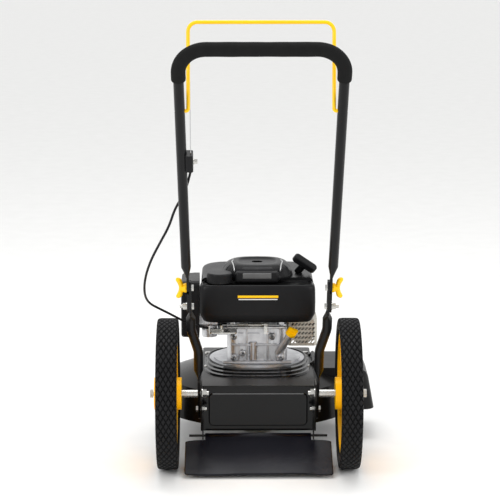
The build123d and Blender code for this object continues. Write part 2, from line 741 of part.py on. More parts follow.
# ------------------------------------------------------------------ knobs, pivot bolts, arm bolts
FOLD_IN = ARM_HIGH_X - FLAT_THICK / 2
FOLD_OUT = HANDLE_FLAT_X + FLAT_THICK / 2 + SIDE_GAP

with BuildPart() as fold_bolts:
    for sign in (-1, 1):
        for s in (PIVOT_S, KNOB_S):
            with BuildSketch(side_plane(sign * (FOLD_IN - 1.0))):
                with Locations((s, 0)):
                    Circle(BOLT_DIA / 2)
            extrude(amount=sign * 28.0)
            with BuildSketch(side_plane(sign * (FOLD_IN - 0.05))):
                with Locations((s, 0)):
                    RegularPolygon(7.4, 6)
            extrude(amount=-sign * 5.0)
save(fold_bolts, "fold_bolts")

with BuildPart() as pivot_nuts:
    for sign in (-1, 1):
        with BuildSketch(side_plane(sign * FOLD_OUT)):
            with Locations((PIVOT_S, 0)):
                Circle(9.0)
                Circle(BOLT_DIA / 2 + RUNNING_CLEARANCE, mode=Mode.SUBTRACT)
        extrude(amount=sign * 1.6)
        with BuildSketch(side_plane(sign * (FOLD_OUT + 1.6))):
            with Locations((PIVOT_S, 0)):
                RegularPolygon(7.5, 6)
                Circle(BOLT_DIA / 2 + RUNNING_CLEARANCE, mode=Mode.SUBTRACT)
        extrude(amount=sign * 8.0)
save(pivot_nuts, "pivot_nuts")


def make_knob(side, sign):
    """Wing knob: a hub and two round lobes on the clamp bolt of one side."""
    with BuildPart() as knob:
        with BuildSketch(side_plane(sign * FOLD_OUT)):
            with Locations((KNOB_S, 0)):
                Circle(11.0)
        extrude(amount=sign * 12.0)
        with BuildSketch(side_plane(sign * (FOLD_OUT + 9.0))):
            with Locations((KNOB_S, 0)):
                SlotOverall(44.0, 12.0)
            with Locations((KNOB_S - 16.0, 0), (KNOB_S + 16.0, 0)):
                Circle(8.0)
        extrude(amount=sign * 17.0)
        with BuildSketch(side_plane(sign * FOLD_OUT)):
            with Locations((KNOB_S, 0)):
                Circle(BOLT_DIA / 2 + RUNNING_CLEARANCE)
        extrude(amount=sign * 20.0, mode=Mode.SUBTRACT)
    save(knob, f"{side}_wing_knob")


make_knob("left", -1)
make_knob("right", 1)

with BuildPart() as frame_bolts:
    for sign in (-1, 1):
        head = sign * (ARM_LOW_X + FLAT_THICK / 2 + 0.05)
        with BuildSketch(side_plane(head)):
            with Locations((-52.0, 0)):
                RegularPolygon(7.4, 6)
        extrude(amount=sign * 5.0)
        with BuildSketch(side_plane(head)):
            with Locations((-52.0, 0)):
                Circle(BOLT_DIA / 2)
        extrude(amount=-sign * 20.0)
        with BuildSketch(side_plane(sign * (HALF_FRAME - SHEET - 0.05))):
            with Locations((-52.0, 0)):
                RegularPolygon(7.4, 6)
        extrude(amount=-sign * 6.0)
    for bolt_x, bolt_y in DECK_BOLTS:
        with BuildSketch(Plane.XY.offset(FRAME_TOP + 0.05)):
            with Locations((bolt_x, bolt_y)):
                RegularPolygon(7.4, 6)
        extrude(amount=5.5)
        with BuildSketch(Plane.XY.offset(FRAME_TOP + 0.05)):
            with Locations((bolt_x, bolt_y)):
                Circle(BOLT_DIA / 2)
        extrude(amount=-14.0)
save(frame_bolts, "frame_bolts")

# ------------------------------------------------------------------ engine block
SUMP_TOP = FRAME_TOP + SUMP_HEIGHT
CASE_TOP = SUMP_TOP + CASE_HEIGHT
CASE_MID = (CASE_REAR + CASE_FRONT) / 2
CASE_LENGTH = CASE_FRONT - CASE_REAR

with BuildPart() as sump:
    with BuildSketch(Plane.XY.offset(FRAME_TOP)):
        with Locations((0, CRANK_Y)):
            Circle(SUMP_R)
            Circle(38.0, mode=Mode.SUBTRACT)
            with PolarLocations(99.0, 3, start_angle=90):
                Circle(BOLT_DIA / 2 + 0.1, mode=Mode.SUBTRACT)
    extrude(amount=SUMP_HEIGHT - 4.0)
    with BuildSketch(Plane.XY.offset(SUMP_TOP - 4.0)):
        with Locations((0, CRANK_Y)):
            Circle(SUMP_R - 10.0)
            Circle(SHAFT_DIA / 2 + RUNNING_CLEARANCE, mode=Mode.SUBTRACT)
    extrude(amount=4.0)
save(sump, "engine_sump")

with BuildPart() as crankcase:
    with BuildSketch(Plane.XY.offset(SUMP_TOP)):
        with Locations((0, CASE_MID)):
            RectangleRounded(CASE_WIDTH, CASE_LENGTH, 22.0)
    extrude(amount=CASE_HEIGHT)
    with BuildSketch(Plane.XY.offset(SUMP_TOP)):
        with Locations((0, CASE_MID)):
            RectangleRounded(CASE_WIDTH - 2 * CASE_WALL, CASE_LENGTH - 2 * CASE_WALL, 15.0)
    extrude(amount=CASE_HEIGHT - CASE_WALL, mode=Mode.SUBTRACT)
    # rear ribs and the oil boss
    rib_plane = Plane.XZ.offset(-CASE_REAR)
    with BuildSketch(rib_plane):
        for rib_x in (-50.0, -32.0, 20.0, 36.0, 50.0):
            with Locations((rib_x, SUMP_TOP + CASE_HEIGHT / 2)):
                Rectangle(5.0, CASE_HEIGHT - 18.0)
        for rib_z in (22.0, 48.0, 74.0):
            with Locations((-30.0, SUMP_TOP + rib_z)):
                Rectangle(70.0, 4.0)
    extrude(amount=RIB_DEPTH)
    with BuildSketch(Plane.XY.offset(SUMP_TOP + 10.0)):
        with Locations((-10.0, CASE_REAR)):
            Circle(10.0)
    extrude(amount=44.0)
    with BuildSketch(Plane.XY.offset(SUMP_TOP)):
        with Locations((0, CRANK_Y)):
            Circle(SHAFT_DIA / 2 + RUNNING_CLEARANCE)
    extrude(amount=CASE_HEIGHT + 5.0, mode=Mode.SUBTRACT)
    # posts that carry the tank and the blower housing
    with BuildSketch(Plane.XY.offset(CASE_TOP)):
        with Locations((-60.0, TANK_FRONT), (60.0, TANK_FRONT)):
            Rectangle(12.0, 18.0)
    extrude(amount=SHROUD_BOTTOM - CASE_TOP)
    # cylinder bore
    bore_plane = Plane.XZ.offset(-CASE_FRONT - 1.0)
    with BuildSketch(bore_plane):
        with Locations((0, SUMP_TOP + CASE_HEIGHT / 2)):
            Circle(33.0)
    extrude(amount=CASE_WALL + 2.0, mode=Mode.SUBTRACT)
save(crankcase, "crankcase")

CYL_Z = SUMP_TOP + CASE_HEIGHT / 2
CYL_FRONT = CASE_FRONT + CYLINDER_LENGTH
with BuildPart() as cylinder:
    with BuildSketch(Plane.XZ.offset(-CYL_FRONT)):
        with Locations((0, CYL_Z)):
            RectangleRounded(82.0, 78.0, 20.0)
            Circle(32.5, mode=Mode.SUBTRACT)
    extrude(amount=CYLINDER_LENGTH)
    for fin in range(8):
        with BuildSketch(Plane.XZ.offset(-CASE_FRONT - 6.0 - fin * 7.6)):
            with Locations((0, CYL_Z)):
                RectangleRounded(CYLINDER_WIDTH, 92.0, 14.0)
                Circle(32.5, mode=Mode.SUBTRACT)
        extrude(amount=-2.6)
save(cylinder, "cylinder")

with BuildPart() as head:
    with BuildSketch(Plane.XZ.offset(-CYL_FRONT)):
        with Locations((0, CYL_Z)):
            RectangleRounded(CYLINDER_WIDTH - 6.0, 90.0, 16.0)
    extrude(amount=-26.0)
    with BuildSketch(Plane.XZ.offset(-CYL_FRONT - 26.0)):
        with Locations((-28.0, CYL_Z)):
            Circle(6.5)
    extrude(amount=16.0, mode=Mode.SUBTRACT)
save(head, "cylinder_head")

with BuildPart() as valve_cover:
    with BuildSketch(Plane.XZ.offset(-CYL_FRONT - 26.0)):
        with Locations((14.0, CYL_Z)):
            RectangleRounded(60.0, 76.0, 12.0)
    extrude(amount=-20.0, taper=6)
save(valve_cover, "valve_cover")

with BuildPart() as spark_plug:
    with BuildSketch(Plane.XZ.offset(-CYL_FRONT - 10.2)):
        with Locations((-28.0, CYL_Z)):
            Circle(6.4)
    extrude(amount=-18.0)
    with BuildSketch(Plane.XZ.offset(-CYL_FRONT - 26.05)):
        with Locations((-28.0, CYL_Z)):
            RegularPolygon(10.0, 6)
    extrude(amount=-9.0)
    with BuildSketch(Plane.XZ.offset(-CYL_FRONT - 35.0)):
        with Locations((-28.0, CYL_Z)):
            Circle(8.5)
    extrude(amount=-24.0, taper=5)
save(spark_plug, "spark_plug_and_cap")

# ------------------------------------------------------------------ rotor
SHAFT_TOP = COVER_TOP - 26.0
SHAFT_LOW = GLIDE_HEIGHT + 12.0 + SIDE_GAP
with BuildPart() as crankshaft:
    with BuildSketch(Plane.XY.offset(SHAFT_LOW)):
        with Locations((0, CRANK_Y)):
            Circle(SHAFT_DIA / 2)
    extrude(amount=SHAFT_TOP - SHAFT_LOW)
    for web_z in (SUMP_TOP + 24.0, CASE_TOP - 32.0):
        with BuildSketch(Plane.XY.offset(web_z)):
            with Locations((0, CRANK_Y)):
                Circle(44.0)
        extrude(amount=12.0)
    # stub that carries the glide disc
    with BuildSketch(Plane.XY.offset(4.0)):
        with Locations((0, CRANK_Y)):
            Circle(8.0)
    extrude(amount=SHAFT_LOW - 4.0)
save(crankshaft, "crankshaft")

with BuildPart() as blade_hub:
    with BuildSketch(Plane.XY.offset(BLADE_Z + BLADE_THICK)):
        with Locations((0, CRANK_Y)):
            Circle(40.0)
            Circle(SHAFT_DIA / 2, mode=Mode.SUBTRACT)
    extrude(amount=6.0)
    with BuildSketch(Plane.XY.offset(BLADE_Z + BLADE_THICK + 6.0)):
        with Locations((0, CRANK_Y)):
            Circle(22.0)
            Circle(SHAFT_DIA / 2, mode=Mode.SUBTRACT)
    extrude(amount=44.0)
save(blade_hub, "blade_hub")

with BuildPart() as blade:
    with BuildSketch(Plane.XY.offset(BLADE_Z)):
        with Locations((0, CRANK_Y)):
            SlotOverall(BLADE_LENGTH, BLADE_WIDTH)
            Circle(SHAFT_DIA / 2, mode=Mode.SUBTRACT)
    extrude(amount=BLADE_THICK)
save(blade, "cutter_blade")

with BuildPart() as blade_nut:
    with BuildSketch(Plane.XY.offset(BLADE_Z)):
        with Locations((0, CRANK_Y)):
            Circle(24.0)
            Circle(SHAFT_DIA / 2, mode=Mode.SUBTRACT)
    extrude(amount=-3.0)
    with BuildSketch(Plane.XY.offset(BLADE_Z - 3.0)):
        with Locations((0, CRANK_Y)):
            RegularPolygon(20.0, 6)
            Circle(SHAFT_DIA / 2, mode=Mode.SUBTRACT)
    extrude(amount=-14.0)
    # nut under the glide disc
    with BuildSketch(Plane.XY.offset(12.0 - SIDE_GAP)):
        with Locations((0, CRANK_Y)):
            RegularPolygon(12.5, 6)
            Circle(8.0, mode=Mode.SUBTRACT)
    extrude(amount=-7.0)
save(blade_nut, "rotor_nuts")

with BuildPart() as flywheel:
    fly_z = CASE_TOP + 24.0
    with BuildSketch(Plane.XY.offset(fly_z)):
        with Locations((0, CRANK_Y)):
            Circle(FLYWHEEL_R)
            Circle(SHAFT_DIA / 2, mode=Mode.SUBTRACT)
    extrude(amount=12.0)
    with BuildSketch(Plane.XY.offset(fly_z + 12.0)):
        with Locations((0, CRANK_Y)):
            with PolarLocations(FLYWHEEL_R - 19.0, 16):
                Rectangle(34.0, 3.0)
            Circle(34.0)
            Circle(SHAFT_DIA / 2, mode=Mode.SUBTRACT)
    extrude(amount=20.0)
save(flywheel, "flywheel_fan")

with BuildPart() as glide:
    with BuildSketch(CRANK_PLANE):
        with BuildLine():
            Polyline(
                (14.0, 12.0),
                (8.0 + RUNNING_CLEARANCE, 12.0),
                (8.0 + RUNNING_CLEARANCE, GLIDE_HEIGHT + 12.0),
                (20.0, GLIDE_HEIGHT + 12.0),
                (24.0, GLIDE_HEIGHT),
                (GLIDE_DIA / 2, GLIDE_HEIGHT),
                (GLIDE_DIA / 2, GLIDE_HEIGHT - 6.0),
            )
            ThreePointArc(
                (GLIDE_DIA / 2, GLIDE_HEIGHT - 6.0), (44.0, 7.0), (22.0, 0.0)
            )
            Polyline((22.0, 0.0), (14.0, 0.0), (14.0, 12.0))
        make_face()
    revolve(axis=CRANK_AXIS)
save(glide, "glide_disc")

# ------------------------------------------------------------------ shroud, tank and recoil cover
GRIP_X = 113.0
GRIP_Y = 284.0
GRIP_Z = 428.0
GRIP_TILT = 34.0
ROPE_DIR = Vector(0.42, -0.55, 0.72).normalized()
GRIP_BAR_DIR = Vector(cos(radians(GRIP_TILT)), 0, -sin(radians(GRIP_TILT)))
GRIP_UP = (ROPE_DIR - GRIP_BAR_DIR * ROPE_DIR.dot(GRIP_BAR_DIR)).normalized()
GRIP_PLANE = Plane(origin=(GRIP_X, GRIP_Y, GRIP_Z), x_dir=GRIP_BAR_DIR, z_dir=GRIP_UP)
HALF_SHROUD = SHROUD_WIDTH / 2


def tank_block(inset):
    """Outer or inner body of the fuel tank, moved in by inset."""
    with BuildPart() as block:
        with BuildSketch(Plane.YZ.offset(-HALF_SHROUD + inset)):
            with BuildLine():
                Polyline(
                    (TANK_REAR + 14.0 + inset, SHROUD_BOTTOM + inset),
                    (TANK_REAR + inset, SHROUD_BOTTOM + 20.0 + inset),
                    (TANK_REAR + 4.0 + inset, SHROUD_TOP - 22.0 - inset),
                    (TANK_REAR + 22.0 + inset, SHROUD_TOP - inset),
                    (TANK_FRONT - inset, SHROUD_TOP - inset),
                    (TANK_FRONT - inset, SHROUD_BOTTOM + inset),
                    close=True,
                )
            make_face()
        extrude(amount=SHROUD_WIDTH - 2 * inset)
    return block.part


with BuildPart() as tank:
    add(tank_block(0.0))
    rear_edges = tank.edges().filter_by(lambda e: abs(abs(e.center().X) - HALF_SHROUD) < 0.1)
    fillet(rear_edges.sort_by(Axis.Y)[:3], 16.0)
    with BuildSketch(Plane.XY.offset(SHROUD_TOP - 0.5)):
        with Locations((CAP_X, CAP_Y)):
            Circle(24.0)
    extrude(amount=12.5)
    add(tank_block(4.0), mode=Mode.SUBTRACT)
    with BuildSketch(Plane.XY.offset(SHROUD_TOP - 20.0)):
        with Locations((CAP_X, CAP_Y)):
            Circle(20.0)
    extrude(amount=40.0, mode=Mode.SUBTRACT)
save(tank, "fuel_tank")

with BuildPart() as fuel_cap:
    with BuildSketch(Plane.XY.offset(SHROUD_TOP + 2.0)):
        with Locations((CAP_X, CAP_Y)):
            Circle(CAP_DIA / 2)
            Circle(24.0 + SIDE_GAP, mode=Mode.SUBTRACT)
    extrude(amount=10.5)
    with BuildSketch(Plane.XY.offset(SHROUD_TOP + 12.5)):
        with Locations((CAP_X, CAP_Y)):
            Circle(CAP_DIA / 2)
    extrude(amount=13.0)
    fillet(fuel_cap.edges().group_by(Axis.Z)[-1], 4.0)
save(fuel_cap, "fuel_cap")

with BuildPart() as housing:
    with BuildSketch(Plane.XY.offset(SHROUD_BOTTOM)):
        with Locations((0, (TANK_FRONT + SIDE_GAP + HOUSING_FRONT) / 2)):
            Rectangle(SHROUD_WIDTH - 8.0, HOUSING_FRONT - TANK_FRONT - SIDE_GAP)
    extrude(amount=SHROUD_TOP + 6.0 - SHROUD_BOTTOM)
    fillet(housing.edges().filter_by(Axis.Z).group_by(Axis.Y)[-1], 60.0)
    fillet(housing.faces().sort_by(Axis.Z)[-1].edges().group_by(Axis.Y)[1:], 12.0)
    offset(amount=-HOUSING_WALL, openings=housing.faces().sort_by(Axis.Z)[0])
    with BuildSketch(Plane.XY.offset(SHROUD_TOP)):
        with Locations((0, CRANK_Y)):
            Circle(COVER_R - 14.0)
    extrude(amount=10.0, mode=Mode.SUBTRACT)
    # rope guide under the starter grip
    with BuildSketch(GRIP_PLANE.offset(-SIDE_GAP)):
        Circle(9.0)
        Circle(3.0, mode=Mode.SUBTRACT)
    extrude(amount=-26.0)
save(housing, "blower_housing")

with BuildPart() as cover:
    cover_base = SHROUD_TOP + 6.0
    with BuildSketch(Plane.XY.offset(cover_base)):
        with Locations((0, CRANK_Y)):
            Circle(COVER_R)
    extrude(amount=COVER_TOP - cover_base)
    fillet(cover.edges().group_by(Axis.Z)[-1], 14.0)
    with BuildSketch(Plane.XY.offset(cover_base)):
        with Locations((0, CRANK_Y)):
            Circle(COVER_R - HOUSING_WALL)
    extrude(amount=COVER_TOP - cover_base - 12.0, mode=Mode.SUBTRACT)
    with BuildSketch(Plane.XY.offset(COVER_TOP - 13.0)):
        with Locations((0, CRANK_Y)):
            with PolarLocations(52.0, 12):
                SlotOverall(34.0, 6.0, mode=Mode.ADD)
    extrude(amount=20.0, mode=Mode.SUBTRACT)
save(cover, "recoil_cover")

with BuildPart() as pulley:
    with BuildSketch(Plane.XY.offset(SHROUD_TOP - 10.0)):
        with Locations((0, CRANK_Y)):
            Circle(36.0)
            Circle(SHAFT_DIA / 2, mode=Mode.SUBTRACT)
    extrude(amount=20.0)
save(pulley, "starter_cup")

# ------------------------------------------------------------------ starter grip and rope
with BuildPart() as starter_grip:
    with BuildSketch(GRIP_PLANE):
        SlotOverall(64.0, 20.0)
    extrude(amount=19.0)
    fillet(starter_grip.edges().filter_by(GeomType.CIRCLE), 4.0)
save(starter_grip, "starter_grip")

# ------------------------------------------------------------------ air filter, carburettor, muffler
with BuildPart() as filter_base:
    with BuildSketch(Plane.YZ.offset(FILTER_INNER_X)):
        with Locations(((FILTER_REAR + FILTER_FRONT) / 2, (FILTER_BOTTOM + FILTER_TOP) / 2)):
            RectangleRounded(FILTER_FRONT - FILTER_REAR, FILTER_TOP - FILTER_BOTTOM, 12.0)
    extrude(amount=-12.0)
save(filter_base, "air_filter_base")

with BuildPart() as filter_cover:
    with BuildSketch(Plane.YZ.offset(FILTER_INNER_X - 12.0)):
        with Locations(((FILTER_REAR + FILTER_FRONT) / 2, (FILTER_BOTTOM + FILTER_TOP) / 2)):
            RectangleRounded(FILTER_FRONT - FILTER_REAR, FILTER_TOP - FILTER_BOTTOM, 12.0)
    extrude(amount=FILTER_OUTER_X - FILTER_INNER_X + 12.0, taper=4)
    fillet(filter_cover.faces().sort_by(Axis.X)[0].edges(), 6.0)
    with BuildSketch(Plane.YZ.offset(FILTER_INNER_X - 12.0)):
        with Locations(((FILTER_REAR + FILTER_FRONT) / 2, (FILTER_BOTTOM + FILTER_TOP) / 2)):
            RectangleRounded(FILTER_FRONT - FILTER_REAR - 12.0, FILTER_TOP - FILTER_BOTTOM - 12.0, 8.0)
    extrude(amount=FILTER_OUTER_X - FILTER_INNER_X + 16.0, mode=Mode.SUBTRACT)
save(filter_cover, "air_filter_cover")

with BuildPart() as carburettor:
    with BuildSketch(Plane.YZ.offset(-CASE_WIDTH / 2 - 24.0)):
        with Locations((306.0, 290.0)):
            RectangleRounded(40.0, 32.0, 6.0)
    extrude(amount=FILTER_INNER_X + CASE_WIDTH / 2 + 24.0)
    with BuildSketch(Plane.YZ.offset(-CASE_WIDTH / 2)):
        with Locations((306.0, CYL_Z + 22.0)):
            Circle(16.0)
    extrude(amount=-24.0)
    with BuildSketch(Plane.XY.offset(246.0)):
        with Locations((-CASE_WIDTH / 2 - 44.0, 306.0)):
            Circle(19.0)
    extrude(amount=30.0)
save(carburettor, "carburettor")

MUFFLER_X = 112.0
MUFFLER_Y = 300.0
with BuildPart() as muffler:
    with BuildSketch(Plane.XZ.offset(-MUFFLER_Y - 38.0)):
        with Locations((MUFFLER_X, 262.0)):
            Circle(28.0)
    extrude(amount=76.0)
    with BuildSketch(Plane.YZ.offset(CASE_WIDTH / 2)):
        with Locations((MUFFLER_Y + 10.0, 258.0)):
            Circle(11.0)
    extrude(amount=MUFFLER_X - CASE_WIDTH / 2)
save(muffler, "muffler")

with BuildPart() as guard:
    guard_width = 74.0
    guard_x = CASE_WIDTH / 2 + guard_width / 2
    with BuildSketch(Plane.XY.offset(232.0)):
        with Locations((guard_x, MUFFLER_Y)):
            RectangleRounded(guard_width, 92.0, 12.0)
    extrude(amount=66.0)
    with BuildSketch(Plane.XY.offset(232.0)):
        with Locations((guard_x, MUFFLER_Y)):
            RectangleRounded(guard_width - 4.0, 88.0, 10.0)
    extrude(amount=64.0, mode=Mode.SUBTRACT)
    with BuildSketch(Plane.YZ.offset(CASE_WIDTH / 2)):
        with Locations((MUFFLER_Y + 10.0, 252.0)):
            Rectangle(30.0, 48.0)
    extrude(amount=12.0, mode=Mode.SUBTRACT)
    slot_rows = [(column, row) for column in range(-3, 4) for row in range(-2, 3)]
    with BuildSketch(Plane.XZ.offset(-MUFFLER_Y + 30.0)):
        with Locations(*[(MUFFLER_X + 1.0 + column * 8.5, 264.0 + row * 11.0) for column, row in slot_rows]):
            SlotOverall(9.0, 4.0, rotation=45)
    extrude(amount=30.0, mode=Mode.SUBTRACT)
    with BuildSketch(Plane.YZ.offset(MUFFLER_X + 20.0)):
        with Locations(*[(MUFFLER_Y + column * 11.0, 264.0 + row * 11.0) for column, row in slot_rows]):
            SlotOverall(10.0, 4.0, rotation=45)
    extrude(amount=30.0, mode=Mode.SUBTRACT)
save(guard, "muffler_guard")

# ------------------------------------------------------------------ dipstick and filler tube
DIP_TOP = Vector(80.0, 203.0, 272.0)
DIP_FOOT = Vector(52.0, 222.0, 222.0)
DIP_DIR = (DIP_TOP - DIP_FOOT).normalized()
with BuildPart() as filler_tube:
    with BuildSketch(Plane(origin=DIP_FOOT - DIP_DIR * 2.0, z_dir=DIP_DIR)):
        Circle(9.0)
        Circle(7.0, mode=Mode.SUBTRACT)
    extrude(amount=(DIP_TOP - DIP_FOOT).length + 2.0)
    with BuildSketch(Plane.XZ.offset(-CASE_REAR + RIB_DEPTH)):
        with Locations((DIP_FOOT.X, DIP_FOOT.Z)):
            Rectangle(70.0, 70.0)
    extrude(amount=-40.0, mode=Mode.SUBTRACT)
save(filler_tube, "oil_filler_tube")

with BuildPart() as dipstick:
    with BuildSketch(Plane(origin=DIP_TOP + DIP_DIR * SIDE_GAP, z_dir=DIP_DIR)):
        Circle(13.0)
    extrude(amount=7.0)
    with BuildSketch(Plane(origin=DIP_TOP + DIP_DIR * 7.0, x_dir=(1, 0, 0), z_dir=DIP_DIR)):
        Rectangle(24.0, 6.0)
    extrude(amount=12.0)
    with BuildSketch(Plane(origin=DIP_TOP - DIP_DIR * 44.0, z_dir=DIP_DIR)):
        Circle(2.5)
    extrude(amount=46.0)
save(dipstick, "dipstick")

# ------------------------------------------------------------------ stop lever and governor linkage
LEVER_X = -108.0
LEVER_Y = 196.0
LEVER_Z = 288.0
BRACKET_REAR = 178.0
BRACKET_DEEP = CASE_REAR - RIB_DEPTH - BRACKET_REAR
with BuildPart() as bracket:
    with BuildSketch(Plane.XY.offset(LEVER_Z - 8.0)):
        with Locations(((LEVER_X - 60.0) / 2, BRACKET_REAR + BRACKET_DEEP / 2)):
            RectangleRounded(-LEVER_X - 40.0, BRACKET_DEEP, 6.0)
    extrude(amount=3.0)
    with BuildSketch(Plane.XY.offset(LEVER_Z - 8.0)):
        with Locations((LEVER_X - 9.0, LEVER_Y - 8.0)):
            Rectangle(3.0, 18.0)
    extrude(amount=20.0)
    with BuildSketch(Plane.XY.offset(LEVER_Z - 8.0)):
        with Locations((LEVER_X + 20.0, LEVER_Y + 8.0)):
            Circle(4.0)
    extrude(amount=15.0)
save(bracket, "control_bracket")

with BuildPart() as stop_lever:
    with BuildSketch(Plane.XY.offset(LEVER_Z - 4.5)):
        with Locations((LEVER_X + 20.0, LEVER_Y + 8.0)):
            Circle(9.0)
            with Locations((-13.4, 0)):
                Rectangle(26.8, 12.0)
            Circle(4.0 + RUNNING_CLEARANCE, mode=Mode.SUBTRACT)
    extrude(amount=3.0)
save(stop_lever, "stop_lever")

with BuildPart() as governor:
    for rod_z, start_x, end_x in ((297.0, -86.0, 44.0), (291.0, -70.0, 20.0)):
        with BuildSketch(along_x(start_x, CASE_REAR - 26.0, rod_z)):
            Circle(1.5)
        extrude(amount=end_x - start_x)
    with BuildSketch(along_x(-20.0, CASE_REAR - 26.0, 297.0)):
        Circle(5.0)
    extrude(amount=28.0)
    with BuildSketch(Plane.XZ.offset(-CASE_REAR + 30.0)):
        with Locations((20.0, 288.0)):
            Rectangle(8.0, 26.0)
    extrude(amount=-30.0 + RIB_DEPTH)
save(governor, "governor_linkage")
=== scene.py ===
"""Looks of a walk-behind brush mower, built round its fixed frame."""

import logging
import math
from dataclasses import dataclass, field
from enum import Enum
from typing import Any, Sequence

import bpy
import numpy as np
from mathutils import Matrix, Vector

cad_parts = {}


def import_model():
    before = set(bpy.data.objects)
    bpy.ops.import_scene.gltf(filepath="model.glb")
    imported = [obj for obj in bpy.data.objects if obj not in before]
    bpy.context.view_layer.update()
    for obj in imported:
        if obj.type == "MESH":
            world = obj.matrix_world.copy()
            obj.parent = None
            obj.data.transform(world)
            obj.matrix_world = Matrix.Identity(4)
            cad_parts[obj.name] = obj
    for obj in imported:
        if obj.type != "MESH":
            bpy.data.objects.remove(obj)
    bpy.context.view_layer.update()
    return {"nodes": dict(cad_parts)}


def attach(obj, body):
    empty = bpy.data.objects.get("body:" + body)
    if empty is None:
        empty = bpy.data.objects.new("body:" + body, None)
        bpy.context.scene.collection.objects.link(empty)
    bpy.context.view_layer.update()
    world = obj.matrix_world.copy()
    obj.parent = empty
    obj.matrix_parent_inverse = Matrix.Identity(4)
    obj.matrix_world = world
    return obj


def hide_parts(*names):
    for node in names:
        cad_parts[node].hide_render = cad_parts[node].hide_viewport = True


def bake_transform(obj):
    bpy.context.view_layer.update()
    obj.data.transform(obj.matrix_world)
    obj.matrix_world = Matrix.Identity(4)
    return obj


Array = np.ndarray
Rgb = tuple[float, float, float]
Point = tuple[float, float, float]

LOG = logging.getLogger("brush_mower")
MM = 0.001


# ---------------------------------------------------------------- shader maths
class Value:
    """One number of a material: wraps a socket, and its operators add Math nodes."""

    def __init__(self, graph: "Graph", socket: bpy.types.NodeSocket) -> None:
        """Keeps the graph and the socket."""
        self.graph = graph
        self.socket = socket

    def __add__(self, other: "Value | float") -> "Value":
        """Sum of the two."""
        return self.graph.math("ADD", self, other)

    def __radd__(self, other: float) -> "Value":
        """Sum, with the number first."""
        return self.graph.math("ADD", other, self)

    def __sub__(self, other: "Value | float") -> "Value":
        """Difference of the two."""
        return self.graph.math("SUBTRACT", self, other)

    def __rsub__(self, other: float) -> "Value":
        """Difference, with the number first."""
        return self.graph.math("SUBTRACT", other, self)

    def __mul__(self, other: "Value | float") -> "Value":
        """Product of the two."""
        return self.graph.math("MULTIPLY", self, other)

    def __rmul__(self, other: float) -> "Value":
        """Product, with the number first."""
        return self.graph.math("MULTIPLY", other, self)

    def above(self, edge: float) -> "Value":
        """One where the number is over the edge, and nothing elsewhere."""
        return self.graph.math("GREATER_THAN", self, edge)

    def held(self) -> "Value":
        """The number kept between nothing and one."""
        clamp = self.graph.node("ShaderNodeClamp", inputs={"Value": self})
        return Value(self.graph, clamp.outputs[0])


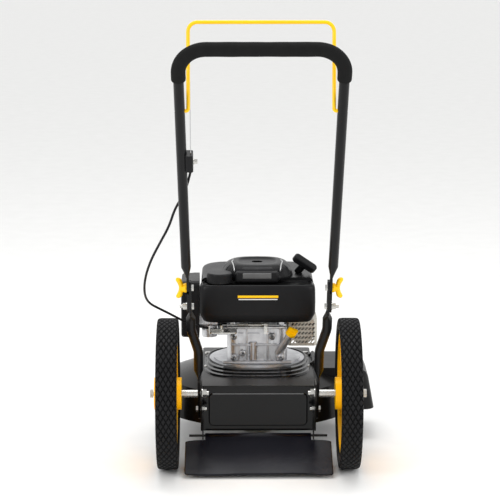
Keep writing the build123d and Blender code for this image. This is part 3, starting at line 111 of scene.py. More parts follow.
class Graph:
    """The node graph of one material, with one method that makes any node."""

    def __init__(self, name: str) -> None:
        """Starts an empty graph.

        Args:
            name: the material's name.
        """
        self.material = bpy.data.materials.new(name)
        self.material.use_nodes = True
        self.tree = self.material.node_tree
        self.tree.nodes.clear()
        self.place = self.node("ShaderNodeTexCoord").outputs["Object"]

    def node(
        self,
        kind: str,
        settings: dict[str, Any] | None = None,
        stops: Sequence[tuple[float, Rgb]] = (),
        inputs: dict[str | int, Any] | None = None,
    ) -> bpy.types.Node:
        """Adds one node.

        Args:
            kind: the node's type name.
            settings: properties that are set before its sockets.
            stops: places and colours of a ramp's stops.
            inputs: a value, a socket or a Value for each input by name or number.

        Returns:
            The new node.
        """
        made = self.tree.nodes.new(kind)
        for key, value in (settings or {}).items():
            setattr(made, key, value)
        for index, (at, colour) in enumerate(stops):
            stop = made.color_ramp.elements[index] if index < 2 else made.color_ramp.elements.new(at)
            stop.position = at
            stop.color = (*colour, 1.0)
        for key, value in (inputs or {}).items():
            self.feed(made.inputs[key], value)
        return made

    def feed(self, socket: bpy.types.NodeSocket, value: Any) -> None:
        """Links a socket or a Value to an input, or sets a plain number or colour on it."""
        if isinstance(value, Value):
            value = value.socket
        if isinstance(value, bpy.types.NodeSocket):
            self.tree.links.new(value, socket)
        elif isinstance(value, tuple) and len(value) == 3 and socket.type == "RGBA":
            socket.default_value = (*value, 1.0)
        else:
            socket.default_value = value

    def math(self, operation: str, first: "Value | float", second: "Value | float") -> Value:
        """Adds a Math node of two numbers."""
        made = self.node("ShaderNodeMath", {"operation": operation}, inputs={0: first, 1: second})
        return Value(self, made.outputs[0])

    def noise(self, scale: float, detail: float = 3.0, stretch: Point = (1.0, 1.0, 1.0)) -> Value:
        """Noise over the piece's own place.

        Args:
            scale: bumps for each metre.
            detail: how many finer layers it has.
            stretch: how much faster it runs along each axis.

        Returns:
            A number near one half that wanders between nothing and one.
        """
        mapping = self.node("ShaderNodeMapping", inputs={"Vector": self.place, "Scale": stretch})
        made = self.node(
            "ShaderNodeTexNoise", inputs={"Vector": mapping.outputs[0], "Scale": scale, "Detail": detail}
        )
        return Value(self, made.outputs[0])

    def cells(self, scale: float) -> Value:
        """Distance from the middle of small cells, as in an open foam."""
        made = self.node("ShaderNodeTexVoronoi", inputs={"Vector": self.place, "Scale": scale})
        return Value(self, made.outputs["Distance"])

    def mix(self, first: Any, second: Any, share: Value) -> bpy.types.NodeSocket:
        """Colour that goes from the first to the second as share grows."""
        made = self.node("ShaderNodeMix", {"data_type": "RGBA"})
        self.feed(made.inputs["Factor"], share)
        self.feed(made.inputs[6], first)
        self.feed(made.inputs[7], second)
        return made.outputs[2]

    def bump(self, height: Value, depth: float) -> bpy.types.NodeSocket:
        """Normal of a surface whose height varies by depth metres."""
        made = self.node("ShaderNodeBump", inputs={"Strength": 1.0, "Distance": depth, "Height": height})
        return made.outputs[0]

    def close(self, fixed: dict[str, float], varying: dict[str, Any]) -> bpy.types.Material:
        """Ends the graph in one surface shader.

        Args:
            fixed: numbers set on the shader's own sockets.
            varying: links and values that change over the surface.

        Returns:
            The material.
        """
        shader = self.node("ShaderNodeBsdfPrincipled", inputs={**fixed, **varying})
        self.node("ShaderNodeOutputMaterial", inputs={"Surface": shader.outputs[0]})
        return self.material


# ---------------------------------------------------------------- finishes
class Grain(Enum):
    """Kinds of fine surface."""

    SMOOTH = "smooth"
    MOULDED = "moulded"
    CAST = "cast"
    PRESSED = "pressed"
    PLATED = "plated"
    FOAM = "foam"
    RUBBER = "rubber"
    VINYL = "vinyl"


@dataclass(frozen=True)
class Surface:
    """Sizes of one grain: fine and broad bumps for each metre, and the depth in metres."""

    fine: float
    broad: float
    depth: float
    stretch: Point = (1.0, 1.0, 1.0)


GRAINS: dict[Grain, Surface] = {
    Grain.SMOOTH: Surface(900.0, 14.0, 0.00002),
    Grain.MOULDED: Surface(1500.0, 20.0, 0.00009),
    Grain.CAST: Surface(900.0, 45.0, 0.00035),
    Grain.PRESSED: Surface(500.0, 12.0, 0.00006),
    Grain.PLATED: Surface(420.0, 60.0, 0.00003, (1.0, 1.0, 3.0)),
    Grain.FOAM: Surface(1300.0, 40.0, 0.0007),
    Grain.RUBBER: Surface(1100.0, 30.0, 0.00015),
    Grain.VINYL: Surface(700.0, 9.0, 0.00012),
}


@dataclass(frozen=True)
class Finish:
    """One finish of the mower, made into a material by its node graph."""

    name: str
    colour: Rgb
    other: Rgb
    roughness: float
    grain: Grain
    metallic: float = 0.0
    spread: float = 0.15
    coat: float = 0.0
    specular: float = 0.5

    def material(self) -> bpy.types.Material:
        """The finish's material, made once."""
        ready = bpy.data.materials.get(f"finish_{self.name}")
        if ready is not None:
            return ready
        size = GRAINS[self.grain]
        graph = Graph(f"finish_{self.name}")
        broad = graph.noise(size.broad, 4.0)
        fine = graph.noise(size.fine, 3.0, size.stretch)
        height = fine
        if self.grain is Grain.FOAM:
            height = (graph.cells(size.fine) * 1.6 + fine * 0.5).held()
        if self.grain is Grain.CAST:
            height = fine * 0.6 + graph.noise(260.0, 2.0) * 0.5
        share = (broad * 1.5 - 0.3 + (fine - 0.5) * 0.5).held()
        colour = graph.mix(self.colour, self.other, share)
        rough = (self.roughness + (broad - 0.5) * self.spread + (fine - 0.5) * self.spread).held()
        return graph.close(
            {
                "Metallic": self.metallic,
                "Coat Weight": self.coat,
                "Coat Roughness": 0.08,
                "Specular IOR Level": self.specular,
            },
            {"Base Color": colour, "Roughness": rough, "Normal": graph.bump(height, size.depth)},
        )


TYRE = Finish("tyre_rubber", (0.006, 0.006, 0.0065), (0.011, 0.011, 0.012), 0.55, Grain.RUBBER, specular=0.14)
YELLOW = Finish("yellow_plastic", (1.0, 0.58, 0.0), (0.94, 0.52, 0.0), 0.36, Grain.MOULDED, spread=0.1, specular=0.3)
YELLOW_ROD = Finish("yellow_rod", (1.0, 0.6, 0.0), (0.95, 0.54, 0.0), 0.3, Grain.SMOOTH, coat=0.15, specular=0.3)
ZINC = Finish("zinc_plate", (0.62, 0.62, 0.6), (0.46, 0.45, 0.42), 0.28, Grain.PLATED, metallic=1.0)
BLACK_STEEL = Finish("black_steel", (0.007, 0.0065, 0.006), (0.013, 0.012, 0.011), 0.32, Grain.PRESSED, coat=0.1, specular=0.14)
GLOSS_BLACK = Finish(
    "gloss_black_steel", (0.003, 0.003, 0.0033), (0.005, 0.005, 0.0055), 0.14, Grain.SMOOTH, coat=0.1, spread=0.06, specular=0.2
)
BLACK_TUBE = Finish("black_tube", (0.004, 0.004, 0.0045), (0.008, 0.008, 0.0085), 0.3, Grain.SMOOTH, coat=0.1, specular=0.14)
FOAM = Finish("grip_foam", (0.006, 0.006, 0.006), (0.011, 0.011, 0.011), 0.86, Grain.FOAM, specular=0.15)
BLACK_PLASTIC = Finish("black_plastic", (0.006, 0.006, 0.0065), (0.011, 0.011, 0.012), 0.34, Grain.MOULDED, specular=0.14)
VINYL = Finish("flap_vinyl", (0.003, 0.003, 0.006), (0.006, 0.006, 0.011), 0.24, Grain.VINYL, coat=0.05, specular=0.25)
WIRE = Finish("bare_wire", (0.6, 0.6, 0.6), (0.42, 0.42, 0.43), 0.35, Grain.PLATED, metallic=0.9)
SHEATH = Finish("cable_sheath", (0.006, 0.006, 0.007), (0.011, 0.011, 0.012), 0.4, Grain.SMOOTH, specular=0.14)
ALLOY = Finish("cast_alloy", (0.74, 0.75, 0.77), (0.46, 0.46, 0.48), 0.36, Grain.CAST, metallic=0.85)
PRESSED = Finish("pressed_steel", (0.5, 0.5, 0.5), (0.36, 0.36, 0.36), 0.36, Grain.PRESSED, metallic=0.9)
RUBBER = Finish("rubber_cap", (0.006, 0.006, 0.006), (0.011, 0.011, 0.011), 0.5, Grain.RUBBER, specular=0.14)
STEEL = Finish("steel", (0.42, 0.41, 0.4), (0.3, 0.29, 0.28), 0.35, Grain.PLATED, metallic=1.0)
CAST_HUB = Finish("cast_hub", (0.12, 0.12, 0.12), (0.08, 0.08, 0.08), 0.5, Grain.CAST, metallic=0.8)
MUFFLER = Finish("muffler_steel", (0.35, 0.33, 0.3), (0.25, 0.23, 0.2), 0.48, Grain.PRESSED, metallic=0.8)
GUARD = Finish("guard_steel", (0.56, 0.53, 0.47), (0.42, 0.4, 0.35), 0.38, Grain.PRESSED, metallic=0.85)
BLANK_WHITE = Finish("blank_white", (0.8, 0.8, 0.78), (0.7, 0.7, 0.68), 0.4, Grain.SMOOTH)
GREY_PLATE = Finish("grey_plate", (0.12, 0.12, 0.12), (0.07, 0.07, 0.07), 0.4, Grain.MOULDED, spread=0.3)
BLANK_SILVER = Finish("blank_silver", (0.6, 0.6, 0.6), (0.45, 0.45, 0.45), 0.3, Grain.PLATED, metallic=0.7)
FLOOR = Finish("studio_floor", (0.86, 0.86, 0.85), (0.82, 0.82, 0.81), 0.6, Grain.SMOOTH)

SLOT_FINISH: dict[str, Finish] = {
    "tyre": TYRE,
    "yellow_plastic": YELLOW,
    "yellow_rod": YELLOW_ROD,
    "zinc": ZINC,
    "black_steel": BLACK_STEEL,
    "gloss_black_steel": GLOSS_BLACK,
    "black_tube": BLACK_TUBE,
    "foam": FOAM,
    "black_plastic": BLACK_PLASTIC,
    "flap_vinyl": VINYL,
    "bare_wire": WIRE,
    "cable_sheath": SHEATH,
    "cast_alloy": ALLOY,
    "pressed_steel": PRESSED,
    "rubber_cap": RUBBER,
    "steel": STEEL,
    "cast_hub": CAST_HUB,
    "muffler_steel": MUFFLER,
    "guard_steel": GUARD,
}


# ---------------------------------------------------------------- surfaces
def grid_faces(rows: int, columns: int, ring: bool, loop: bool) -> Array:
    """Quads between neighbouring points of a grid.

    Args:
        rows: points along the first parameter.
        columns: points along the second parameter.
        ring: True where the second parameter closes on itself.
        loop: True where the first parameter closes on itself.

    Returns:
        One row of four point numbers for each quad.
    """
    down = np.arange(rows if loop else rows - 1)
    across = np.arange(columns if ring else columns - 1)
    i, j = np.meshgrid(down, across, indexing="ij")
    k = (i + 1) % rows
    m = (j + 1) % columns
    corners = (i * columns + j, i * columns + m, k * columns + m, k * columns + j)
    return np.stack(corners, axis=-1).reshape(-1, 4)


def make_piece(name: str, points: Array, faces: list[list[int]], smooth: bool = True) -> bpy.types.Object:
    """A mesh object at the origin, its faces turned outwards.

    Args:
        name: the piece's name.
        points: its points, in metres.
        faces: point numbers of each face.
        smooth: True for smooth shading.

    Returns:
        The object, linked to the scene.
    """
    mesh = bpy.data.meshes.new(name)
    mesh.from_pydata(points.reshape(-1, 3).tolist(), [], faces)
    mesh.polygons.foreach_set("use_smooth", np.full(len(mesh.polygons), smooth))
    mesh.validate()
    mesh.update()
    piece = bpy.data.objects.new(name, mesh)
    bpy.context.scene.collection.objects.link(piece)
    turn_outwards(piece)
    return piece


def turn_outwards(piece: bpy.types.Object) -> None:
    """Flips every face where the closed mesh's volume, summed over its triangles, is negative."""
    mesh = piece.data
    mesh.calc_loop_triangles()
    corner = np.empty(len(mesh.loop_triangles) * 3, np.int32)
    mesh.loop_triangles.foreach_get("vertices", corner)
    place = np.empty(len(mesh.vertices) * 3, np.float32)
    mesh.vertices.foreach_get("co", place)
    place = place.reshape(-1, 3).astype(float)
    a, b, c = (place[corner.reshape(-1, 3)[:, n]] - place.mean(axis=0) for n in range(3))
    if np.einsum("ij,ij->i", a, np.cross(b, c)).sum() < 0:
        mesh.flip_normals()
        mesh.update()


def surface(name: str, grid: Array, ring: bool = True, loop: bool = False, capped: bool = True) -> bpy.types.Object:
    """A piece from a grid of points.

    Args:
        name: the piece's name.
        grid: points, rows x columns x 3.
        ring: True where each row closes on itself.
        loop: True where the rows close on each other.
        capped: True where the first and last row are closed by a face.

    Returns:
        The object.
    """
    rows, columns = grid.shape[:2]
    faces = grid_faces(rows, columns, ring, loop).tolist()
    if capped and not loop:
        faces.append(list(range(columns)))
        faces.append(list(range((rows - 1) * columns, rows * columns))[::-1])
    return make_piece(name, grid, faces)


def tube_grid(path: Array, radius: Array | float, sides: int, up: Point) -> Array:
    """Rings of points round a path.

    Each ring lies across the path's slope. Its first axis is up less its part along the slope,
    and its second is their cross product.

    Args:
        path: points of the centre line.
        radius: the tube's radius, one number or one for each point.
        sides: points in a ring.
        up: a direction that the path never runs along.

    Returns:
        Points, rings x sides x 3.
    """
    slope = np.gradient(path, axis=0)
    slope /= np.linalg.norm(slope, axis=1, keepdims=True)
    first = np.array(up) - slope * (slope @ np.array(up))[:, None]
    first /= np.linalg.norm(first, axis=1, keepdims=True)
    second = np.cross(slope, first)
    turn = np.arange(sides) * 2 * math.pi / sides
    reach = np.broadcast_to(np.asarray(radius, float).reshape(-1, 1), (len(path), sides))[..., None]
    around = first[:, None] * np.cos(turn)[None, :, None] + second[:, None] * np.sin(turn)[None, :, None]
    return path[:, None] + reach * around


def smooth_line(name: str, points: Sequence[Point], steps: int) -> Array:
    """Points along a smooth NURBS line, in metres.

    Args:
        name: a name for the line while it is made.
        points: its control points in millimetres.
        steps: pieces between control points.

    Returns:
        The line's points in order.
    """
    curve = bpy.data.curves.new(name, "CURVE")
    curve.dimensions = "3D"
    curve.resolution_u = steps
    spline = curve.splines.new("NURBS")
    spline.points.add(len(points) - 1)
    spline.points.foreach_set("co", np.c_[np.array(points) * MM, np.ones(len(points))].ravel())
    spline.order_u = 3
    spline.use_endpoint_u = True
    holder = bpy.data.objects.new(name, curve)
    bpy.context.scene.collection.objects.link(holder)
    bpy.context.view_layer.update()
    mesh = bpy.data.meshes.new_from_object(holder)
    line = np.empty(len(mesh.vertices) * 3, np.float32)
    mesh.vertices.foreach_get("co", line)
    bpy.data.objects.remove(holder)
    bpy.data.meshes.remove(mesh)
    return line.reshape(-1, 3).astype(float)


def rounded_block(name: str, low: Point, high: Point, radius: float, segments: int = 3) -> bpy.types.Object:
    """A box between two corners in millimetres, with all of its edges rounded.

    The box's eight corners are joined by six quads, and a bevel of the radius rounds the edges.
    """
    corner = np.array(np.meshgrid([0, 1], [0, 1], [0, 1], indexing="ij")).reshape(3, -1).T
    points = (np.array(low) + corner * (np.array(high) - np.array(low))) * MM
    faces = [[0, 1, 3, 2], [4, 6, 7, 5], [0, 4, 5, 1], [2, 3, 7, 6], [0, 2, 6, 4], [1, 5, 7, 3]]
    piece = make_piece(name, points, faces)
    bevel = piece.modifiers.new("round", "BEVEL")
    bevel.width = radius * MM
    bevel.segments = segments
    return piece


def dress(piece: bpy.types.Object, finish: Finish, body: str) -> bpy.types.Object:
    """Gives a piece its finish and the body that it rides on."""
    piece.data.materials.clear()
    piece.data.materials.append(finish.material())
    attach(piece, body)
    return piece


# ---------------------------------------------------------------- the camera and the studio
@dataclass(frozen=True)
class Studio:
    """Floor, lights and camera. Lengths in metres, angles in degrees."""

    eye: Point = (-0.06, -4.656, 1.398)
    down: float = 10.67
    right: float = 0.495
    lens: float = 146.9
    sensor: float = 36.0
    floor_half: float = 60.0

    def set_camera(self) -> None:
        """A long lens at head height behind the handle."""
        data = bpy.data.cameras.new("camera")
        data.lens = self.lens
        data.sensor_width = self.sensor
        data.clip_end = 300.0
        camera = bpy.data.objects.new("camera", data)
        camera.location = self.eye
        camera.rotation_euler = (math.radians(90.0 - self.down), 0.0, math.radians(-self.right))
        bpy.context.scene.collection.objects.link(camera)
        bpy.context.scene.camera = camera

    def lay_floor(self) -> None:
        """A plain pale floor under the wheels."""
        h = self.floor_half
        points = np.array([(-h, -h, 0.0), (h, -h, 0.0), (h, h, 0.0), (-h, h, 0.0)])
        mesh = bpy.data.meshes.new("floor")
        mesh.from_pydata(points.tolist(), [], [[0, 1, 2, 3]])
        floor = bpy.data.objects.new("floor", mesh)
        bpy.context.scene.collection.objects.link(floor)
        mesh.materials.append(FLOOR.material())

    def light(self, name: str, at: Point, aim: Point, size: tuple[float, float], power: float) -> None:
        """One soft rectangular light.

        Args:
            name: the light's name.
            at: its middle.
            aim: the point that it faces.
            size: width and height.
            power: watts.
        """
        data = bpy.data.lights.new(name, "AREA")
        data.shape = "RECTANGLE"
        data.size, data.size_y = size
        data.energy = power
        lamp = bpy.data.objects.new(name, data)
        lamp.location = at
        lamp.rotation_euler = (Vector(aim) - Vector(at)).to_track_quat("-Z", "Y").to_euler()
        bpy.context.scene.collection.objects.link(lamp)

    def set_lights(self) -> None:
        """A pale room with a broad light overhead and one at each side of the camera."""
        world = bpy.data.worlds.new("studio")
        world.use_nodes = True
        world.node_tree.nodes["Background"].inputs[0].default_value = (1.0, 1.0, 1.0, 1.0)
        world.node_tree.nodes["Background"].inputs[1].default_value = 0.98
        bpy.context.scene.world = world
        bpy.context.scene.view_settings.view_transform = "Standard"
        aim = (0.0, 0.1, 0.35)
        self.light("overhead", (0.0, 0.6, 3.4), aim, (2.2, 1.2), 45.0)
        self.light("left", (-2.6, -2.4, 1.9), aim, (0.7, 1.8), 42.0)
        self.light("right", (2.8, -2.0, 1.6), aim, (0.7, 1.8), 30.0)


# ---------------------------------------------------------------- wheels
@dataclass
class Wheel:
    """One tyre with its tread and beads. Lengths in millimetres."""

    side: str
    sign: int
    track: float = 425.0
    radius: float = 177.5
    depth: float = 31.0
    width: float = 49.0
    tread_depth: float = 4.5
    blocks: int = 50
    rows: int = 4
    groove: float = 0.13
    around: int = 1000
    across: int = 84

    def section(self) -> tuple[Array, Array]:
        """Outline of the tyre's section in shares of its half width and half depth.

        A superellipse is sampled finely and read again at even steps of its length, closer
        together on the crown, where the tread is.
        """
        angle = np.linspace(0.0, 2 * math.pi, 4001) + math.pi
        wide = np.sign(np.cos(angle)) * np.abs(np.cos(angle)) ** 0.32
        tall = np.sign(np.sin(angle)) * np.abs(np.sin(angle)) ** 0.32
        weight = np.where(tall > 0.7, 3.0, 1.0)[1:] * np.hypot(np.diff(wide), np.diff(tall))
        run = np.r_[0.0, np.cumsum(weight)]
        at = np.linspace(0.0, run[-1], self.across, endpoint=False)
        return np.interp(at, run, wide), np.interp(at, run, tall)

    def tyre_grid(self) -> Array:
        """Points of the tyre.

        The section is a rounded box turned round the axle. Over the crown the surface sinks by
        the tread's depth wherever two families of slanting grooves run, so that diamonds stand
        between them.
        """
        turn = np.arange(self.around) / self.around
        x_part, r_part = self.section()
        u, wide = np.meshgrid(turn, x_part, indexing="ij")
        tall = np.broadcast_to(r_part, u.shape)
        lane = wide * self.rows / 2
        first = np.abs((lane + u * self.blocks) % 1.0 - 0.5)
        second = np.abs((lane - u * self.blocks) % 1.0 - 0.5)
        gap = np.minimum(first, second)
        block = np.clip((gap - self.groove / 2) / 0.07, 0.0, 1.0)
        block = block * block * (3.0 - 2.0 * block)
        crown = np.clip((tall - 0.5) / 0.3, 0.0, 1.0)
        reach = self.radius - self.depth / 2 + tall * self.depth / 2 - (1.0 - block) * crown * self.tread_depth
        x = self.sign * self.track / 2 + wide * self.width / 2
        theta = u * 2 * math.pi
        return np.stack([x, reach * np.sin(theta), self.radius + reach * np.cos(theta)], axis=-1) * MM

    def build(self) -> None:
        """Makes the tyre in place of its plain solid."""
        tyre = surface(f"{self.side}_lattice_tyre", self.tyre_grid(), ring=True, loop=True)
        dress(tyre, TYRE, f"{self.side}_wheel")
        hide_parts(f"{self.side}_tyre")
        LOG.info("built %s", tyre.name)


# ---------------------------------------------------------------- cable and wire
CABLE_POINTS: tuple[Point, ...] = (
    (-149.0, -335.65, 758.86),
    (-160.0, -287.0, 706.0),
    (-186.0, -262.0, 663.0),
    (-199.0, -238.0, 620.0),
    (-221.0, -212.0, 577.0),
    (-241.0, -182.0, 536.0),
    (-255.0, -146.0, 495.0),
    (-262.0, -104.0, 456.0),
    (-262.0, -54.0, 421.0),
    (-254.0, 4.0, 393.0),
    (-237.0, 62.0, 370.0),
    (-211.0, 112.0, 345.0),
    (-178.0, 150.0, 318.0),
    (-146.0, 172.0, 300.0),
    (-120.3, 187.0, 292.5),
)
WIRE_POINTS: tuple[Point, ...] = (
    (-149.0, -358.15, 797.8),
    (-149.0, -372.2, 849.6),
    (-149.0, -386.2, 901.4),
    (-149.0, -400.2, 953.2),
)


@dataclass
class Cable:
    """The stop cable from its clamp to the engine, and its bare inner wire above the clamp."""

    sheath_diameter: float = 5.5
    wire_diameter: float = 1.6
    sides: int = 20

    def run(
        self, name: str, points: Sequence[Point], diameter: float, stiff: str, lay: str
    ) -> tuple[bpy.types.Object, Array]:
        """One round cord along its smooth line.

        Args:
            name: the piece's name.
            points: control points of its line.
            diameter: in millimetres.
            stiff: how stiff it is; not used.
            lay: how it lies; not used.

        Returns:
            The piece and the line that it follows.
        """
        line = smooth_line(f"{name}_line", points, 12)
        piece = surface(name, tube_grid(line, diameter / 2 * MM, self.sides, (1.0, 0.13, 0.0)))
        return piece, line

    def build(self) -> None:
        """Makes the sheathed cable and the wire."""
        cable, line = self.run("sheathed_stop_cable", CABLE_POINTS, self.sheath_diameter, "stiff", "hanging")
        cable.data.materials.append(SHEATH.material())
        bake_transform(cable)
        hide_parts("control_cable")
        wire, line = self.run("bare_stop_wire", WIRE_POINTS, self.wire_diameter, "stiff", "taut")
        wire.data.materials.append(WIRE.material())
        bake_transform(wire)
        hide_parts("bail_wire")
        LOG.info("built %s and %s", cable.name, wire.name)


# ---------------------------------------------------------------- handle
@dataclass
class HandleGrip:
    """Foam sleeve over the top of the handle. Lengths in millimetres."""

    lean: float = 30.0
    axle: float = 177.5
    foot_s: float = 396.0
    foot_x: float = 164.0
    top_s: float = 984.0
    top_x: float = 172.5
    end_s: float = 906.0
    corner: float = 58.0
    diameter: float = 31.0
    bore: float = 22.0
    sides: int = 48
    steps: int = 420

    def centre_line(self) -> Array:
        """Centre line of the sleeve: two legs, two quarter arcs and the bar, in its leaning plane.

        The line is the outline of the hoop at a share t of its whole run. Distances along the
        legs, the arcs and the bar are summed, and each point takes the formula of its own part.
        """
        share = (self.end_s - self.foot_s) / (self.top_s - self.foot_s)
        low_x = self.foot_x + share * (self.top_x - self.foot_x)
        tilt = math.atan2(self.top_x - low_x, self.top_s - self.end_s)
        turn = math.pi / 2 + tilt
        cut = self.corner * math.tan(turn / 2)
        leg = math.hypot(self.top_x - low_x, self.top_s - self.end_s) - cut
        arc = self.corner * turn
        bar = self.top_x - cut
        t = np.linspace(0.0, leg + arc + bar, self.steps)
        on_leg = t < leg
        on_arc = (t >= leg) & (t < leg + arc)
        phi = np.clip((t - leg) / self.corner, 0.0, turn)
        start_x = low_x + leg * math.sin(tilt)
        start_s = self.end_s + leg * math.cos(tilt)
        mid_x = start_x - self.corner * math.cos(tilt)
        mid_s = start_s + self.corner * math.sin(tilt)
        x = np.where(on_leg, low_x + t * math.sin(tilt), mid_x + self.corner * np.cos(phi - tilt))
        s = np.where(on_leg, self.end_s + t * math.cos(tilt), mid_s + self.corner * np.sin(phi - tilt))
        x = np.where(on_leg | on_arc, x, bar - (t - leg - arc))
        s = np.where(on_leg | on_arc, s, self.top_s)
        x = np.r_[-x, x[::-1][1:]]
        s = np.r_[s, s[::-1][1:]]
        lean = math.radians(self.lean)
        return np.stack([x, -s * math.sin(lean), self.axle + s * math.cos(lean)], axis=-1) * MM

    def build(self) -> None:
        """Makes the sleeve: out over the foam, back through the bore, with soft rolled ends."""
        line = self.centre_line()
        lean = math.radians(self.lean)
        normal = (0.0, -math.cos(lean), -math.sin(lean))
        along = np.r_[0.0, np.cumsum(np.linalg.norm(np.diff(line, axis=0), axis=1))] / MM
        edge = np.minimum(along, along[-1] - along)
        roll = 4.0
        soft = roll - np.sqrt(np.clip(roll**2 - np.clip(roll - edge, 0.0, roll) ** 2, 0.0, None))
        swell = 0.12 * np.sin(along / 21.0) + 0.1 * np.sin(along / 8.3 + 1.0)
        outer = tube_grid(line, (self.diameter / 2 - 0.25 - soft + swell) * MM, self.sides, normal)
        inner = tube_grid(line, (self.bore / 2 + 0.3) * MM, self.sides, normal)
        grip = surface("foam_sleeve", np.concatenate([outer, inner[::-1]]), ring=True, loop=True)
        dress(grip, FOAM, "handle")
        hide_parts("foam_grip")
        LOG.info("built %s", grip.name)


@dataclass
class WingKnob:
    """One wing knob on the clamp bolt of a handle tube. Lengths in millimetres."""

    side: str
    sign: int
    seat_x: float = 163.4
    up_s: float = 333.0
    lean: float = 30.0
    axle: float = 177.5

    def place(self, out: Array, up: Array, back: Array) -> Array:
        """Points at out from the tube, up along the handle's line and back behind it, in metres."""
        lean = math.radians(self.lean)
        x = self.sign * (self.seat_x + out)
        y = -(self.up_s + up) * math.sin(lean) - back * math.cos(lean)
        z = self.axle + (self.up_s + up) * math.cos(lean) - back * math.sin(lean)
        return np.stack(np.broadcast_arrays(x, y, z), axis=-1) * MM

    def build(self) -> None:
        """Makes the knob: a waisted hub with a crown, and two ears bowed away from the tube.

        The hub's radius along its run comes from a table. The ears are one bar whose middle line
        leaves the hub by the square of its distance, and whose radius swells towards both tips
        and closes there as a circle does.
        """
        turn = np.linspace(0.0, 2 * math.pi, 48, endpoint=False)
        out = np.array([0.05, 0.6, 4.0, 8.0, 12.0, 15.0, 17.0, 17.6])
        reach = np.array([9.6, 10.4, 10.0, 8.6, 7.8, 7.4, 6.0, 3.5])
        u, v = np.meshgrid(out, turn, indexing="ij")
        r = np.broadcast_to(reach[:, None], u.shape) * (1.0 + 0.05 * np.cos(v * 8.0))
        hub = surface(f"{self.side}_knob_hub", self.place(u, r * np.cos(v), r * np.sin(v)))
        t = np.sin(np.linspace(-math.pi / 2, math.pi / 2, 60)) * 0.9999
        swell = 6.2 + 3.4 * np.abs(t) ** 1.5
        tip = np.sqrt(np.clip(1.0 - (np.clip(np.abs(t) - 0.72, 0.0, None) / 0.28) ** 2, 0.0, None))
        u, v = np.meshgrid(t, turn, indexing="ij")
        r = np.broadcast_to((swell * tip)[:, None], u.shape)
        bow = 12.5 + 7.5 * np.abs(u) ** 1.8
        ears = surface(
            f"{self.side}_knob_ears", self.place(bow + r * np.cos(v) * 0.8, u * 29.0, r * np.sin(v) * 0.75)
        )
        for piece in (hub, ears):
            dress(piece, YELLOW, f"{self.side}_knob")
        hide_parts(f"{self.side}_wing_knob")
        LOG.info("built %s", ears.name)


# ---------------------------------------------------------------- trailing flap
@dataclass
class TrailingFlap:
    """Vinyl flap on its rod. Lengths in millimetres, angles in degrees."""

    rod_y: float = 38.0
    rod_z: float = 64.0
    rod_radius: float = 3.0
    thick: float = 3.0
    width: float = 346.0
    tab_half: float = 126.0
    length: float = 152.0
    shoulder: float = 20.0
    drop: float = 20.5
    wave: float = 2.2

    def build(self) -> None:
        """Makes the flap as one closed skin.

        Along the flap the half width steps from the tab to the full flap. The skin is lifted by
        slow waves across it that grow towards the free edge, and its lower side lies one
        thickness under the upper.
        """
        down = np.linspace(0.0, 1.0, 90)
        across = np.linspace(-1.0, 1.0, 160)
        far = self.rod_radius + down * (self.length - self.rod_radius)
        corner = 8.0
        step = np.clip((far - self.shoulder) / corner, 0.0, 1.0)
        half = self.tab_half + (self.width / 2 - self.tab_half) * np.sqrt(1.0 - (1.0 - step) ** 2)
        end = np.clip((far - (self.length - corner)) / corner, 0.0, 1.0)
        half = half - corner * (1.0 - np.sqrt(1.0 - end**2))
        u, v = np.meshgrid(far, across, indexing="ij")
        x = v * half[:, None]
        grow = np.clip((u - 25.0) / (self.length - 25.0), 0.0, 1.0)
        lift = self.wave * grow * (np.sin(x / 47.0 + 0.6) * 0.6 + np.sin(x / 23.0 - u / 60.0) * 0.25)
        lift += 3.0 * np.sin(math.pi * np.clip((u - 10.0) / (self.length - 10.0), 0.0, 1.0)) * grow
        drop = math.radians(self.drop)
        sides = []
        for offset in (self.thick / 2, -self.thick / 2):
            height = lift + offset
            y = self.rod_y - u * math.cos(drop) - height * math.sin(drop) * -1.0
            z = self.rod_z - u * math.sin(drop) + height * math.cos(drop)
            sides.append(np.stack([x, y, z], axis=-1))
        skin = np.concatenate([sides[0], sides[1][:, ::-1]], axis=1) * MM
        flap = surface("vinyl_flap", skin, ring=True, loop=False, capped=True)
        turn = np.linspace(0.0, 2 * math.pi, 40, endpoint=False)
        dress(flap, VINYL, "flap")
        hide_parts("rear_flap")
        hem_x = np.array([-self.tab_half, self.tab_half])
        rings = []
        for x_end, reach in (
            (hem_x[0], self.rod_radius + 0.3),
            (hem_x[0], self.rod_radius + self.thick),
            (hem_x[1], self.rod_radius + self.thick),
            (hem_x[1], self.rod_radius + 0.3),
        ):
            rings.append(
                np.stack(
                    [np.full(40, x_end), self.rod_y + reach * np.cos(turn), self.rod_z + reach * np.sin(turn)],
                    axis=-1,
                )
            )
        hem = surface("flap_hem", np.array(rings) * MM, ring=True, loop=True)
        dress(hem, VINYL, "flap")
        LOG.info("built %s", flap.name)


